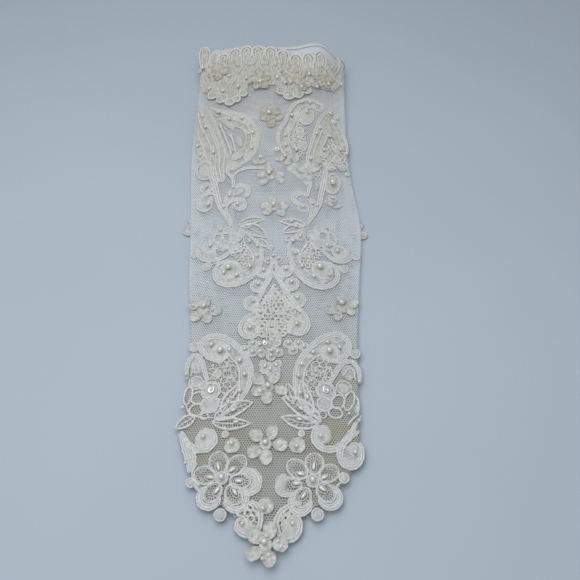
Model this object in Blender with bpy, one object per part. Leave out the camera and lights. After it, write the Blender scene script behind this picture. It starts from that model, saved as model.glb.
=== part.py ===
"""Fingerless bridal glove of tulle and corded lace, lying flat with the back of the hand up.

Lengths are millimetres on the laid-out pattern and become metres when a mesh is made.
+Y runs from the point over the middle finger to the arm opening and +Z is up. The
pattern's own zero is on the glove's back; ORIGIN moves it to the middle of the box.
"""

import math

import bpy
from mathutils import Vector
from mathutils.geometry import delaunay_2d_cdt

METRE = 0.001
ORIGIN = (-5.0, 3.6)

# The tulle tube: single-layer point, two-layer hand and arm.
TIP_Y = -186.0
HAND_Y = -130.0
ARM_Y = 189.0
WALL = 0.5
UNDER_Z = 1.5
TIP_TOP_Z = 2.2
ARCH_X, ARCH_WIDTH, ARCH_HEIGHT = 31.0, 15.0, 7.0
ARCH_START_Y = 158.0

# (y, middle x, half width, fold radius, crown height)
STATIONS = (
    (-190.0, -2.5, 47.0, 1.25, 0.0),
    (-160.0, -2.0, 47.0, 1.25, 1.2),
    (-130.0, -1.5, 47.5, 1.25, 3.5),
    (-60.0, -1.5, 49.5, 1.25, 6.0),
    (-20.0, -2.5, 53.5, 1.25, 7.0),
    (25.0, -2.5, 56.5, 1.25, 7.0),
    (60.0, -6.0, 56.0, 1.3, 8.0),
    (100.0, -8.5, 56.0, 1.6, 9.5),
    (150.0, -8.5, 56.0, 3.2, 9.5),
    (190.0, -8.5, 56.0, 6.5, 9.0),
)
# (y, half width) of the single-layer point.
POINT = (
    (-130.0, 46.25), (-137.0, 44.0), (-144.0, 41.0), (-151.0, 36.0), (-158.0, 27.0),
    (-165.0, 18.0), (-172.0, 11.5), (-179.0, 7.0), (-186.0, 3.0),
)
TOP_COLUMNS, UNDER_COLUMNS, FOLD_COLUMNS = 14, 4, 3
TUBE_ROWS = tuple(range(-130, 146, 25)) + (153.0, 160.0, 167.0, 174.0, 181.0, ARM_Y)

# Lace, flowers and pearls on the tulle.
GAP = 0.5
LACE = 0.9
LEVEL_STEP = LACE + 0.8
INNER_PITCH = 10.0
TRIM_PITCH = 5.5
PEARL_RADIUS = 1.6
BIG_PEARL_RADIUS = 1.8

# Trims and hems.
BAND_START_Y = 186.2
BAND_THICKNESS = 0.7
UNDER_TRIM = 1.1
TRIM_ROWS = (161.0, 169.5, 178.0)
TRIM_STEP, TRIM_PETAL_STEP = 4.5, 9.4
TRIM_PETAL, TRIM_PETAL_WIDTH, SCALLOP = 5.0, 3.8, 4.4
PETAL_TOP_Y = 184.0
HEM_Y, HEM_REACH, HEM_WIDTH = -128.0, 44.0, 3.0
SEAM = ((-1.5, -123.5), (-1.5, 0.0), (-5.5, 80.0), (-8.5, 182.0))
SEAM_WIDTH = 2.4

# The finger loop: a flat ribbon ring that swings about its stitched end.
LOOP_HINGE = (-3.0, -181.0)
LOOP_LENGTH, LOOP_WIDTH = 24.0, 17.0
LOOP_RIBBON, LOOP_THICKNESS = 2.4, 0.9


def between(stations, y, column):
    """A column of a station table at y, on a smooth curve through the stations."""
    if y <= stations[0][0]:
        return stations[0][column]
    if y >= stations[-1][0]:
        return stations[-1][column]
    i = max(k for k in range(len(stations) - 1) if stations[k][0] <= y)
    start, end = stations[i], stations[i + 1]
    before, after = stations[max(i - 1, 0)], stations[min(i + 2, len(stations) - 1)]
    span = end[0] - start[0]
    t = (y - start[0]) / span
    slope_start = (end[column] - before[column]) / (end[0] - before[0]) * span
    slope_end = (after[column] - start[column]) / (after[0] - start[0]) * span
    return (
        (2 * t**3 - 3 * t**2 + 1) * start[column] + (t**3 - 2 * t**2 + t) * slope_start
        + (3 * t**2 - 2 * t**3) * end[column] + (t**3 - t**2) * slope_end
    )


def ease(value, low, high):
    """0 below low, 1 above high, smooth between them."""
    t = min(max((value - low) / (high - low), 0.0), 1.0)
    return t * t * (3 - 2 * t)


def middle_x(y):
    return between(STATIONS, y, 1)


def fold_radius(y):
    return between(STATIONS, y, 3)


def flat_half_width(y):
    """Half the width between the two folds' centre lines."""
    return between(STATIONS, y, 2) - fold_radius(y)


def top_z(x, y):
    """Height of the tulle's upper surface."""
    t = min(abs(x - middle_x(y)) / flat_half_width(y), 1.0)
    soft, boxy = (1 - t**3) ** 1.5, (1 - t**4) ** 1.2
    openness = ease(y, 90, 185)
    crown = between(STATIONS, y, 4) * (soft + (boxy - soft) * openness)
    arch = (ARCH_HEIGHT * ease(y, ARCH_START_Y, ARM_Y) * (1 - t**8)
            * math.exp(-(((x - ARCH_X) / ARCH_WIDTH) ** 2)))
    folded = UNDER_Z + 2 * fold_radius(y)
    base = TIP_TOP_Z + (folded - TIP_TOP_Z) * ease(y, TIP_Y, HAND_Y)
    return base + crown + arch


def section(y, outward):
    """The tube's closed outline at y, moved outward by a distance, from the left fold's top."""
    middle, half, radius = middle_x(y), flat_half_width(y), fold_radius(y)
    points = []
    for i in range(TOP_COLUMNS + 1):
        x = middle + half * math.sin(math.pi * (i / TOP_COLUMNS - 0.5))
        points.append((x, y, top_z(x, y) + outward))
    for i in range(1, FOLD_COLUMNS + 1):
        angle = math.pi * (0.5 - i / (FOLD_COLUMNS + 1))
        points.append((middle + half + (radius + outward) * math.cos(angle), y,
                       UNDER_Z + radius + (radius + outward) * math.sin(angle)))
    for i in range(UNDER_COLUMNS + 1):
        x = middle + half * (1 - 2 * i / UNDER_COLUMNS)
        points.append((x, y, UNDER_Z - outward))
    for i in range(1, FOLD_COLUMNS + 1):
        angle = -math.pi * (0.5 + i / (FOLD_COLUMNS + 1))
        points.append((middle - half + (radius + outward) * math.cos(angle), y,
                       UNDER_Z + radius + (radius + outward) * math.sin(angle)))
    return points


# ---------------------------------------------------------------- materials


def material(name, colour, roughness, alpha=1.0):
    made = bpy.data.materials.new(name)
    made.use_nodes = True
    shader = made.node_tree.nodes["Principled BSDF"]
    shader.inputs["Base Color"].default_value = (*colour, 1.0)
    shader.inputs["Roughness"].default_value = roughness
    shader.inputs["Metallic"].default_value = 0.0
    shader.inputs["Alpha"].default_value = alpha
    return made


# ------------------------------------------------------------ mesh builders


def add_object(name, points, faces, look, smooth_angle=40):
    """One named object from millimetre points."""
    mesh = bpy.data.meshes.new(name)
    placed = [((x - ORIGIN[0]) * METRE, (y - ORIGIN[1]) * METRE, z * METRE)
              for x, y, z in points]
    mesh.from_pydata(placed, [], faces)
    mesh.shade_smooth()
    mesh.set_sharp_from_angle(angle=math.radians(smooth_angle))
    mesh.materials.append(look)
    made = bpy.data.objects.new(name, mesh)
    bpy.context.scene.collection.objects.link(made)
    return made


def add_shell(name, outer, inner, faces, look):
    """A closed sheet: faces on the outer points, again on the inner ones, and a rim."""
    count = len(outer)
    sides = {}
    for face in faces:
        for a, b in zip(face, face[1:] + face[:1]):
            sides[(a, b)] = True
    rim = [(b, a, a + count, b + count) for a, b in sides if (b, a) not in sides]
    back = [tuple(i + count for i in reversed(face)) for face in faces]
    return add_object(name, outer + inner, list(faces) + back + rim, look)


def add_plate(name, outlines, look, low, high, pitch):
    """A plate over the union of its outlines, between two heights given by functions."""
    corners, loops = [], []
    for outline in outlines:
        loops.append(list(range(len(corners), len(corners) + len(outline))))
        corners += outline
    xs, ys = [x for x, _ in corners], [y for _, y in corners]
    for row in range(1, int((max(ys) - min(ys)) / pitch) + 1):
        for column in range(1, int((max(xs) - min(xs)) / pitch) + 1):
            shift = 0.5 * (row % 2)
            corners.append((min(xs) + (column - shift) * pitch, min(ys) + row * pitch))
    flat = delaunay_2d_cdt([Vector(p) for p in corners], [], loops, 1, 1e-4)
    used = sorted({i for face in flat[2] for i in face})
    place = {old: new for new, old in enumerate(used)}
    spots = [flat[0][i] for i in used]
    faces = [tuple(place[i] for i in face) for face in flat[2]]
    top = [(p.x, p.y, high(p.x, p.y)) for p in spots]
    under = [(p.x, p.y, low(p.x, p.y)) for p in spots]
    return add_shell(name, top, under, faces, look)


# ----------------------------------------------------------- flat outlines


def oval(x, y, long, wide=None, turn=0.0, points=11):
    """An ellipse with these half axes, its long one turned from +X by degrees."""
    wide = long if wide is None else wide
    c, s = math.cos(math.radians(turn)), math.sin(math.radians(turn))
    found = []
    for i in range(points):
        angle = 2 * math.pi * i / points
        u, v = long * math.cos(angle), wide * math.sin(angle)
        found.append((x + u * c - v * s, y + u * s + v * c))
    return found


def leaf(root, tip, wide):
    """A pointed leaf from its root to its tip, wide across at its middle."""
    (x0, y0), (x1, y1) = root, tip
    length = math.hypot(x1 - x0, y1 - y0)
    nx, ny = -(y1 - y0) / length, (x1 - x0) / length
    sides = []
    for side in (1, -1):
        run = []
        for t in (0.0, 0.2, 0.45, 0.7, 0.88, 1.0):
            reach = side * wide / 2 * math.sin(math.pi * t**0.85) ** 0.8 if 0 < t < 1 else 0
            run.append((x0 + (x1 - x0) * t + nx * reach, y0 + (y1 - y0) * t + ny * reach))
        sides.append(run)
    return sides[1] + sides[0][::-1][1:-1]


def ribbon(*points, steps=2):
    """A tapering band along a smooth curve through points (x, y, width), with round ends."""
    rows = []
    for i in range(len(points) - 1):
        before, start = points[max(i - 1, 0)], points[i]
        end, after = points[i + 1], points[min(i + 2, len(points) - 1)]
        for k in range(steps):
            t = k / steps
            rows.append([
                0.5 * (2 * b + (c - a) * t + (2 * a - 5 * b + 4 * c - d) * t * t
                       + (3 * b - a - 3 * c + d) * t**3)
                for a, b, c, d in zip(before, start, end, after)
            ])
    rows.append(list(points[-1]))
    left, right = [], []
    for i, (x, y, width) in enumerate(rows):
        (xa, ya, _), (xb, yb, _) = rows[max(i - 1, 0)], rows[min(i + 1, len(rows) - 1)]
        length = math.hypot(xb - xa, yb - ya)
        nx, ny = -(yb - ya) / length * width / 2, (xb - xa) / length * width / 2
        left.append((x + nx, y + ny))
        right.append((x - nx, y - ny))
    ends = []
    for (x, y, width), (xn, yn, _) in ((rows[0], rows[1]), (rows[-1], rows[-2])):
        away = math.atan2(y - yn, x - xn)
        ends.append([(x + width / 2 * math.cos(away + a), y + width / 2 * math.sin(away + a))
                     for a in (math.pi / 4, 0, -math.pi / 4)])
    return right + ends[1][::-1] + left[::-1] + ends[0][::-1]


def petals(x, y, directions, reach, long, wide, heart=3.0):
    """Petals around a heart, each an oval that points away from it."""
    shapes = [oval(x, y, heart, points=7)]
    for turn in directions:
        angle = math.radians(turn)
        shapes.append(oval(x + reach * math.cos(angle), y + reach * math.sin(angle),
                           long, wide, turn, points=8))
    return shapes


# ------------------------------------------------------------------ pieces


def add_tulle(look):
    """The tube of tulle, open at both ends, whose upper layer runs on into the point."""
    columns = len(section(0, 0))
    layers = []
    for outward in (0.0, -WALL):
        points = [p for y in TUBE_ROWS for p in section(y, outward)]
        for y, half in POINT[1:]:
            for i in range(TOP_COLUMNS + 1):
                x = middle_x(y) + half * math.sin(math.pi * (i / TOP_COLUMNS - 0.5))
                points.append((x, y, top_z(x, y) + outward))
        layers.append(points)
    faces = []
    for row in range(len(TUBE_ROWS) - 1):
        for i in range(columns):
            a, b = row * columns + i, row * columns + (i + 1) % columns
            faces.append((a, b, b + columns, a + columns))
    first = len(TUBE_ROWS) * columns
    width = TOP_COLUMNS + 1
    for row in range(len(POINT) - 1):
        near = 0 if row == 0 else first + (row - 1) * width
        far = first + row * width
        for i in range(TOP_COLUMNS):
            faces.append((far + i, far + i + 1, near + i + 1, near + i))
    add_shell("tulle_sleeve", layers[0], layers[1], faces, look)


def add_arm_band(look):
    """The narrow elastic band around the arm opening."""
    rows = (BAND_START_Y, ARM_Y)
    columns = len(section(0, 0))
    outer = [p for y in rows for p in section(y, GAP + BAND_THICKNESS)]
    inner = [p for y in rows for p in section(y, GAP)]
    faces = [(i, (i + 1) % columns, columns + (i + 1) % columns, columns + i)
             for i in range(columns)]
    add_shell("arm_band", outer, inner, faces, look)


def add_under_trim(name, outlines, look):
    """A flat strip or flower sewn under the tulle, which the glove lies on."""
    add_plate(name, outlines, look, lambda x, y: 0.0, lambda x, y: UNDER_TRIM, pitch=20)


def add_lace(name, outlines, look, level=0, pitch=INNER_PITCH):
    """Lace on the tulle's upper side; level 1 lies on level 0, and both pass over the band."""

    def underside(x, y):
        over_band = (GAP + BAND_THICKNESS) * ease(y, BAND_START_Y - 4.2, BAND_START_Y - 1.7)
        return top_z(x, y) + GAP + level * LEVEL_STEP + over_band

    add_plate(name, outlines, look, underside, lambda x, y: underside(x, y) + LACE, pitch)


def add_pearl(name, x, y, look, level=1, radius=PEARL_RADIUS):
    """A pearl over the lace or flower at this level."""
    rings, sides = 5, 8
    z = top_z(x, y) + GAP + level * LEVEL_STEP + LACE + GAP + radius
    points = [(x, y, z + radius)]
    for ring in range(1, rings):
        polar = math.pi * ring / rings
        for side in range(sides):
            turn = 2 * math.pi * side / sides
            points.append((x + radius * math.sin(polar) * math.cos(turn),
                           y + radius * math.sin(polar) * math.sin(turn),
                           z + radius * math.cos(polar)))
    points.append((x, y, z - radius))
    last = len(points) - 1
    faces = []
    for side in range(sides):
        after = (side + 1) % sides
        faces.append((0, 1 + side, 1 + after))
        for ring in range(rings - 2):
            a = 1 + ring * sides
            faces.append((a + side, a + sides + side, a + sides + after, a + after))
        a = 1 + (rings - 2) * sides
        faces.append((a + side, last, a + after))
    add_object(name, points, faces, look, smooth_angle=180)


def add_finger_loop(look):
    """A flat ribbon ring, narrow at its stitched end, with its origin on its swing axis."""
    steps = 24
    hinge = Vector((LOOP_HINGE[0], LOOP_HINGE[1], LOOP_THICKNESS / 2))
    rings = []
    for inset in (0.0, LOOP_RIBBON):
        ring = []
        for i in range(steps):
            turn = 2 * math.pi * i / steps
            along = (1 - math.cos(turn)) / 2
            half = (LOOP_WIDTH / 2 - inset) * math.sin(turn) * (0.55 + 0.45 * along)
            reach = inset + (LOOP_LENGTH - 2 * inset) * along
            ring.append((hinge.x + half, hinge.y + reach))
        rings.append(ring)
    flat = rings[0] + rings[1]
    faces = []
    for i in range(steps):
        after = (i + 1) % steps
        faces.append((i, after, steps + after, steps + i))
    top = [(x, y, LOOP_THICKNESS) for x, y in flat]
    under = [(x, y, 0.0) for x, y in flat]
    loop = add_shell("finger_loop", top, under, faces, look)
    pivot = Vector(((hinge.x - ORIGIN[0]) * METRE, (hinge.y - ORIGIN[1]) * METRE,
                    hinge.z * METRE))
    for vertex in loop.data.vertices:
        vertex.co -= pivot
    loop.location = pivot


def lace_pieces():
    """Every lace motif as (name, outlines), from the point to the arm opening."""
    return (
        ("point_scroll_left", [oval(-13.2, -166.5, 8.2, 5.0, 100)]),
        ("point_scroll_right", [oval(8.4, -168.6, 8.8, 5.8, 98)]),
        ("round_petal_centre", [oval(-4.4, -158.6, 3.9, points=10)]),
        ("six_petal_flower_left",
         petals(-26.0, -146.5, (108, 50, -4, -60, -120, 168), 9.0, 6.6, 4.7, 5.0)
         + [oval(-26.5, -163.8, 3.0, points=9), oval(-42.0, -147.5, 2.6, points=8),
            ribbon((-26.2, -152.0, 3.0), (-26.5, -162.0, 3.0), steps=1),
            ribbon((-12.0, -140.0, 3.0), (-9.0, -145.0, 4.6), (-10.5, -150.5, 3.0))]),
        ("six_petal_flower_right",
         petals(20.0, -147.0, (88, 138, 198, 250, 318, 22), 9.2, 6.4, 4.7, 5.0)
         + [oval(23.0, -163.3, 3.0, points=9), oval(37.0, -145.0, 2.6, points=8),
            ribbon((21.0, -152.0, 3.0), (23.0, -162.0, 3.0), steps=1),
            ribbon((32.0, -143.5, 3.0), (36.0, -145.0, 3.0), steps=1),
            ribbon((4.6, -146.5, 2.0), (4.4, -151.0, 4.2), (8.5, -155.5, 3.0))]),
        ("side_scroll_left",
         [oval(-38.5, -124.3, 7.4),
          ribbon((-39.0, -119.0, 3.0), (-45.0, -120.5, 5.0), (-46.2, -127.0, 6.0),
                 (-44.5, -134.5, 5.0), (-42.5, -141.0, 3.0))]),
        ("side_scroll_right",
         [oval(25.2, -124.2, 6.6), oval(41.0, -130.2, 9.0, 6.8, 75),
          ribbon((24.0, -129.0, 4.0), (29.5, -131.0, 4.5), (35.0, -128.0, 5.0))]),
        ("round_petal_left", [oval(-22.0, -129.2, 4.4, points=10)]),
        ("round_petal_right", [oval(12.7, -129.0, 4.6, points=10)]),
        ("hand_paisley_left",
         [ribbon((-36.5, -69.0, 16.0), (-28.0, -73.5, 18.0), (-23.5, -83.0, 18.0),
                 (-24.0, -94.0, 19.0), (-27.0, -104.0, 14.0), (-32.0, -112.0, 6.0)),
          leaf((-24.0, -96.0), (-14.0, -92.5), 7.0),
          leaf((-31.0, -112.5), (-11.5, -104.0), 8.0),
          leaf((-33.0, -113.5), (-12.0, -116.3), 6.0)]),
        ("hand_paisley_right",
         [ribbon((33.5, -66.5, 17.0), (26.0, -71.0, 17.0), (20.0, -79.0, 18.0),
                 (19.0, -91.0, 18.0), (19.5, -102.0, 14.0), (24.0, -111.0, 6.0)),
          leaf((15.0, -98.0), (6.5, -92.5), 6.0),
          leaf((23.0, -110.5), (4.5, -100.5), 8.0),
          leaf((25.0, -113.0), (3.8, -113.0), 6.5)]),
        ("hand_scroll_left",
         [oval(-47.2, -66.3, 2.7, points=8),
          ribbon((-47.5, -69.0, 3.0), (-46.5, -75.0, 5.0), (-42.5, -84.0, 7.0),
                 (-41.5, -93.0, 9.0), (-42.0, -104.0, 13.0))]),
        ("hand_scroll_right",
         [oval(45.0, -68.0, 2.7, points=8),
          ribbon((44.5, -71.0, 3.0), (42.5, -76.0, 6.0), (36.5, -83.0, 8.0),
                 (36.0, -94.0, 12.0), (36.5, -104.0, 14.0))]),
        ("bead_drop", petals(-3.0, -81.2, (30, 90, 150, 210, 270, 330), 3.1, 2.0, 1.7, 2.4)),
        ("centre_teardrop",
         [oval(-15.6, -57.5, 6.8), oval(11.4, -54.0, 7.6), oval(-15.0, -37.0, 5.6),
          oval(11.4, -33.6, 5.8), oval(-11.8, -24.0, 4.6, points=10),
          oval(7.6, -22.6, 5.0, points=10), oval(-8.9, -14.6, 3.4, points=9),
          oval(4.0, -14.6, 4.0, points=9), oval(-3.0, -5.4, 4.4, points=10),
          ribbon((-2.8, -8.0, 3.0), (-2.6, -18.0, 12.0), (-2.6, -34.0, 20.0),
                 (-2.4, -50.0, 28.0), (-2.4, -62.0, 18.0)),
          oval(-13.6, -69.6, 4.8, points=10), oval(-4.0, -67.5, 7.0, points=10),
          oval(8.4, -68.4, 5.4, 4.6)]),
        ("mid_paisley_left",
         [ribbon((-26.0, 19.0, 5.0), (-20.0, 12.0, 11.0), (-20.0, 0.0, 14.0),
                 (-23.0, -9.0, 15.0), (-30.0, -15.0, 19.0)),
          leaf((-25.0, 20.5), (-9.5, 26.0), 6.5), leaf((-24.0, 19.0), (-8.0, 11.5), 7.5)]),
        ("mid_paisley_right",
         [ribbon((16.5, 18.5, 5.0), (13.0, 12.0, 12.0), (15.0, 0.0, 15.0),
                 (19.5, -9.5, 16.0), (27.0, -15.5, 19.0)),
          leaf((17.5, 19.5), (1.5, 23.5), 6.0), leaf((13.0, 13.0), (1.5, 7.5), 6.0)]),
        ("mid_scroll_left",
         [oval(-53.5, 2.5, 2.8, points=8), oval(-45.5, -8.8, 3.4, points=9),
          ribbon((-50.0, 2.5, 5.0), (-44.5, 5.5, 10.0), (-38.0, 0.0, 10.0),
                 (-34.5, 10.0, 11.0), (-37.5, 17.5, 8.0)),
          ribbon((-45.0, -3.0, 6.0), (-38.0, -3.0, 7.0), steps=1)]),
        ("mid_scroll_right",
         [oval(48.3, 0.2, 2.8, points=8), oval(40.5, -10.5, 3.4, points=9),
          ribbon((45.0, -0.5, 5.0), (38.5, 1.5, 10.0), (32.0, -1.0, 10.0),
                 (30.0, 8.0, 10.0), (27.5, 16.0, 9.0)),
          ribbon((41.5, -5.5, 5.0), (34.0, -2.0, 6.0), steps=1)]),
        ("arm_scroll_left",
         [ribbon((-31.0, 22.5, 2.5), (-38.0, 33.0, 5.0), (-43.0, 45.0, 6.0),
                 (-46.5, 58.0, 6.5), (-48.5, 68.0, 6.0)),
          ribbon((-31.0, 22.5, 2.5), (-34.5, 36.0, 5.0), (-34.5, 48.0, 6.5),
                 (-35.0, 58.0, 8.0), (-36.5, 68.0, 9.0)),
          oval(-49.5, 43.5, 6.4), oval(-51.0, 58.5, 4.4, points=10), oval(-52.5, 73.0, 6.8),
          oval(-27.5, 38.6, 4.6, points=10), oval(-26.0, 51.0, 4.8, points=10),
          ribbon((-34.0, 34.5, 3.0), (-29.0, 37.0, 3.0), steps=1),
          ribbon((-34.0, 47.0, 4.0), (-27.0, 51.0, 4.0), steps=1)]),
        ("arm_scroll_right",
         [ribbon((20.0, 24.0, 2.5), (25.0, 33.0, 5.0), (28.5, 45.0, 5.5), (29.5, 58.0, 7.0),
                 (31.0, 67.0, 7.0)),
          ribbon((20.0, 26.0, 2.5), (21.5, 38.0, 6.0), (18.5, 50.0, 6.0), (16.0, 60.0, 8.0),
                 (12.5, 68.0, 7.0)),
          oval(35.6, 61.5, 8.6, 5.2, 85), oval(36.3, 43.0, 4.6, points=10),
          oval(15.2, 36.5, 4.2, points=10), oval(13.2, 44.5, 4.0, points=10),
          ribbon((28.5, 43.0, 3.0), (36.0, 43.0, 3.0), steps=1),
          ribbon((15.0, 37.0, 3.0), (20.0, 36.0, 3.0), steps=1),
          ribbon((13.0, 44.5, 3.0), (19.0, 46.0, 3.0), steps=1)]),
        ("arm_paisley_left_inner",
         [ribbon((-27.0, 78.0, 10.0), (-28.0, 90.0, 20.0), (-28.5, 105.0, 22.0),
                 (-35.0, 118.0, 17.0), (-45.0, 130.0, 7.0))]),
        ("arm_paisley_left_outer",
         [ribbon((-48.5, 86.0, 9.0), (-51.0, 95.0, 17.0), (-54.0, 110.0, 16.0),
                 (-59.0, 123.0, 7.0), (-61.5, 141.0, 3.0))]),
        ("arm_paisley_right_inner",
         [ribbon((5.5, 77.0, 8.0), (7.0, 90.0, 17.0), (8.0, 105.0, 20.0),
                 (13.5, 120.0, 22.0), (18.5, 130.5, 16.0))]),
        ("arm_paisley_right_outer",
         [ribbon((25.5, 76.5, 8.0), (31.0, 90.0, 20.0), (33.5, 105.0, 20.0),
                 (36.5, 119.0, 15.0), (39.0, 130.0, 9.0))]),
        ("arm_trim_left", trim(-61.0, -23.5, ((-52.0, 151.0), (-44.0, 146.0), (-35.0, 146.5)),
                               196.0)),
        ("arm_trim_right", trim(-22.5, 43.5, ((0.5, 149.5), (8.5, 147.0), (17.0, 150.0)),
                                184.0)),
    )


def trim(left, right, scallops, top):
    """Lace edging: a row of petals along the opening, and scallops at its lower edge."""
    steps = round((right - left) / TRIM_STEP)
    xs = [left + (right - left) * i / steps for i in range(steps + 1)]
    rows = [[(x, y) for x in xs] for y in TRIM_ROWS]
    shapes = [low + high[::-1] for low, high in zip(rows, rows[1:])]
    for x, y in scallops:
        foot = TRIM_ROWS[0] + 2.0
        shapes.append(oval(x, y, SCALLOP, points=9))
        shapes.append([(x - 5.5, y + 3.0), (x + 5.5, y + 3.0), (x + 7.0, foot), (x - 7.0, foot)])
    count = round((right - left) / TRIM_PETAL_STEP)
    for i in range(count):
        x = left + (right - left) * (i + 0.5) / count
        rise = (top - PETAL_TOP_Y) * ease(-x, 35, 55) / 2
        middle, reach = PETAL_TOP_Y - TRIM_PETAL, TRIM_PETAL + rise
        shapes.append(oval(x, middle + rise, reach, TRIM_PETAL_WIDTH, 90, points=9))
    return shapes


def small_flowers():
    """Each small flower as (name, x, y, level, petal directions, reach, petal length, width)."""
    five = (90, 162, 234, 306, 18)
    return (
        ("point_flower", -3.5, -178.8, 1, (70, 140, 232, 292, 355), 6.4, 4.4, 3.5),
        ("hand_flower", -4.5, -127.8, 0, (62, 140, 222, 278, 345), 6.4, 4.4, 3.4),
        ("knuckle_flower", -4.0, -95.2, 0, (55, 140, 215, 270, 335), 5.8, 4.0, 3.0),
        ("wrist_flower_left", -44.5, -40.0, 0, (100, 155, 230, 290, 345), 5.6, 4.0, 3.1),
        ("wrist_flower_right", 39.2, -37.2, 0, (95, 30, 215, 255, 320), 5.6, 4.0, 3.1),
        ("forearm_flower_low", -4.0, 37.0, 0, (100, 165, 235, 300, 20), 5.8, 4.2, 3.3),
        ("forearm_flower_high", -7.6, 64.5, 0, (85, 155, 230, 300, 15), 5.6, 4.0, 3.2),
        ("arm_flower", -9.3, 122.0, 0, (70, 115, 190, 270, 350), 5.8, 4.4, 3.3),
        ("trim_flower_left", -47.0, 171.0, 1, five, 5.0, 3.8, 3.2),
        ("trim_flower_middle", -17.0, 161.5, 1, five, 5.0, 3.8, 3.2),
        ("trim_flower_right", 9.5, 161.5, 1, five, 5.0, 3.8, 3.2),
        ("trim_flower_outer", 30.0, 164.5, 1, five, 5.0, 3.8, 3.2),
    )


def big_pearls():
    """The pearls in the paisleys' curls, as (name, x, y)."""
    return (
        ("hand_pearl_left", -32.5, -71.5),
        ("hand_pearl_right", 31.0, -71.0),
        ("mid_pearl_left", -31.0, -13.8),
        ("mid_pearl_right", 26.2, -12.4),
    )


def build():
    for old in list(bpy.data.objects):
        bpy.data.objects.remove(old)
    tulle = material("tulle", (0.86, 0.85, 0.82), 0.8, alpha=0.35)
    cord_lace = material("corded_lace", (0.86, 0.84, 0.78), 0.7)
    organza = material("organza", (0.88, 0.86, 0.78), 0.45)
    elastic = material("elastic", (0.87, 0.86, 0.82), 0.6)
    satin = material("satin_ribbon", (0.88, 0.86, 0.82), 0.4)
    pearl = material("pearl", (0.88, 0.85, 0.78), 0.2)

    add_tulle(tulle)
    add_arm_band(elastic)
    hem = [(middle_x(HAND_Y) + side * HEM_REACH, HEM_Y, HEM_WIDTH) for side in (-1, 0, 1)]
    add_under_trim("palm_hem", [ribbon(*hem)], satin)
    seam = [(x, y, SEAM_WIDTH) for x, y in SEAM]
    add_under_trim("underarm_seam", [ribbon(*seam)], satin)
    add_under_trim("side_flower_left",
                   petals(-52.0, 26.0, (75, 130, 200, 270, 330), 5.6, 4.4, 3.4), organza)
    add_under_trim("side_flower_right",
                   petals(45.5, 24.0, (50, 110, 180, 250, 340), 6.2, 4.6, 3.6), organza)
    for name, outlines in lace_pieces():
        pitch = TRIM_PITCH if "trim" in name else INNER_PITCH
        add_lace(name, outlines, cord_lace, pitch=pitch)
    for name, x, y, level, directions, reach, long, wide in small_flowers():
        add_lace(name, petals(x, y, directions, reach, long, wide), organza, level)
        if not name.startswith("trim"):
            add_pearl(name + "_pearl", x, y, pearl, level)
    for name, x, y in big_pearls():
        add_pearl(name, x, y, pearl, 0, BIG_PEARL_RADIUS)
    add_finger_loop(satin)


build()
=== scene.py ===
"""Looks of the lace bridal glove: sheer hexagonal tulle, corded lace, organza flowers and pearls.

Places are pattern millimetres, as in the CAD: +Y runs from the point over the middle finger to
the arm opening. A point's height is its height over the tulle, so that all the lace follows
the cloth. The palm hem of the frame tells where the pattern's zero lies in the frame.
"""
import math

import bpy
import numpy as np
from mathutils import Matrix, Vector
from mathutils.geometry import delaunay_2d_cdt


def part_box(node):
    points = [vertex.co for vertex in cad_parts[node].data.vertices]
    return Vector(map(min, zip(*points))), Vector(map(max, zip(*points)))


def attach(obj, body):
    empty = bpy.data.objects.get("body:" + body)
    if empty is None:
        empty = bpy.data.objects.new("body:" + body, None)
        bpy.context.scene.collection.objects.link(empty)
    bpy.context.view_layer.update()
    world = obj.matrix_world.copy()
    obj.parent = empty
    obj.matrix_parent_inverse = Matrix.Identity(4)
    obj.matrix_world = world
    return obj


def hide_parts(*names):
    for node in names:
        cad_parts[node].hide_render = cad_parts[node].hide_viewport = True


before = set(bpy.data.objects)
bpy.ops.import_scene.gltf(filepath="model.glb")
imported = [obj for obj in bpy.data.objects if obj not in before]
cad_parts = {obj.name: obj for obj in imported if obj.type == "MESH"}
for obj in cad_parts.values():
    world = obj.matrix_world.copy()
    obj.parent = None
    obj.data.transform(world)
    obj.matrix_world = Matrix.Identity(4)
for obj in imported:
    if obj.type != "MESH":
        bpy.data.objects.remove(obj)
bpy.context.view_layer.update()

MM = 0.001
# The tulle: heights of its lower layer and of its tip, and y of the hem, arm opening and tip.
UNDER_Z, TIP_TOP_Z = 1.5, 2.2
HAND_Y, ARM_Y, TIP_Y = -130.0, 189.0, -186.0
HEM_MIDDLE = (-1.5, -128.0)
# A hexagon's width, and its thread's width as a part of that.
TULLE_CELL, TULLE_THREAD = 1.4, 0.25
# Steps round the tube's upper layer, each of its folds and its lower layer.
TOP_STEPS, FOLD_STEPS, UNDER_STEPS = 96, 8, 40
# The rise near the arm opening, over the edging's right side.
ARCH_HEIGHT, ARCH_X, ARCH_WIDTH = 7.0, 31.0, 15.0
# The cloth's ripples: their size, and (along x, along y, phase, share) of each.
RIPPLE = 0.22
WAVES = ((0.09, 0.052, 0.0, 1.0), (0.043, -0.078, 1.3, 1.0), (0.16, 0.021, 0.4, 0.7))

# Heights over the tulle where the lace and the edging start.
LACE_BASE, TRIM_BASE = 0.12, 1.3
# How far a cord's line and width wander, and the lengths and shares of those waves.
WANDER = 0.13
DRIFT_LENGTHS, DRIFT_SHARES = (5.3, 2.9, 1.6), (0.5, 0.3, 0.2)
# A ridge's height as a part of its width, and the height of the valley between two ridges as
# a part of theirs.
RIDGE, VALLEY = 0.62, 0.25
# A net's meshes and threads as sewn, over the sizes that its motif gives.
MESH_SCALE, MESH_THREAD_SCALE = 1.2, 1.55
# A leaf's cord width, its half width as a part of the width given, and its threads' spacing.
LEAF_CORD, LEAF_SWELL, LEAF_LADDER = 1.6, 0.58, 2.4
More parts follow.
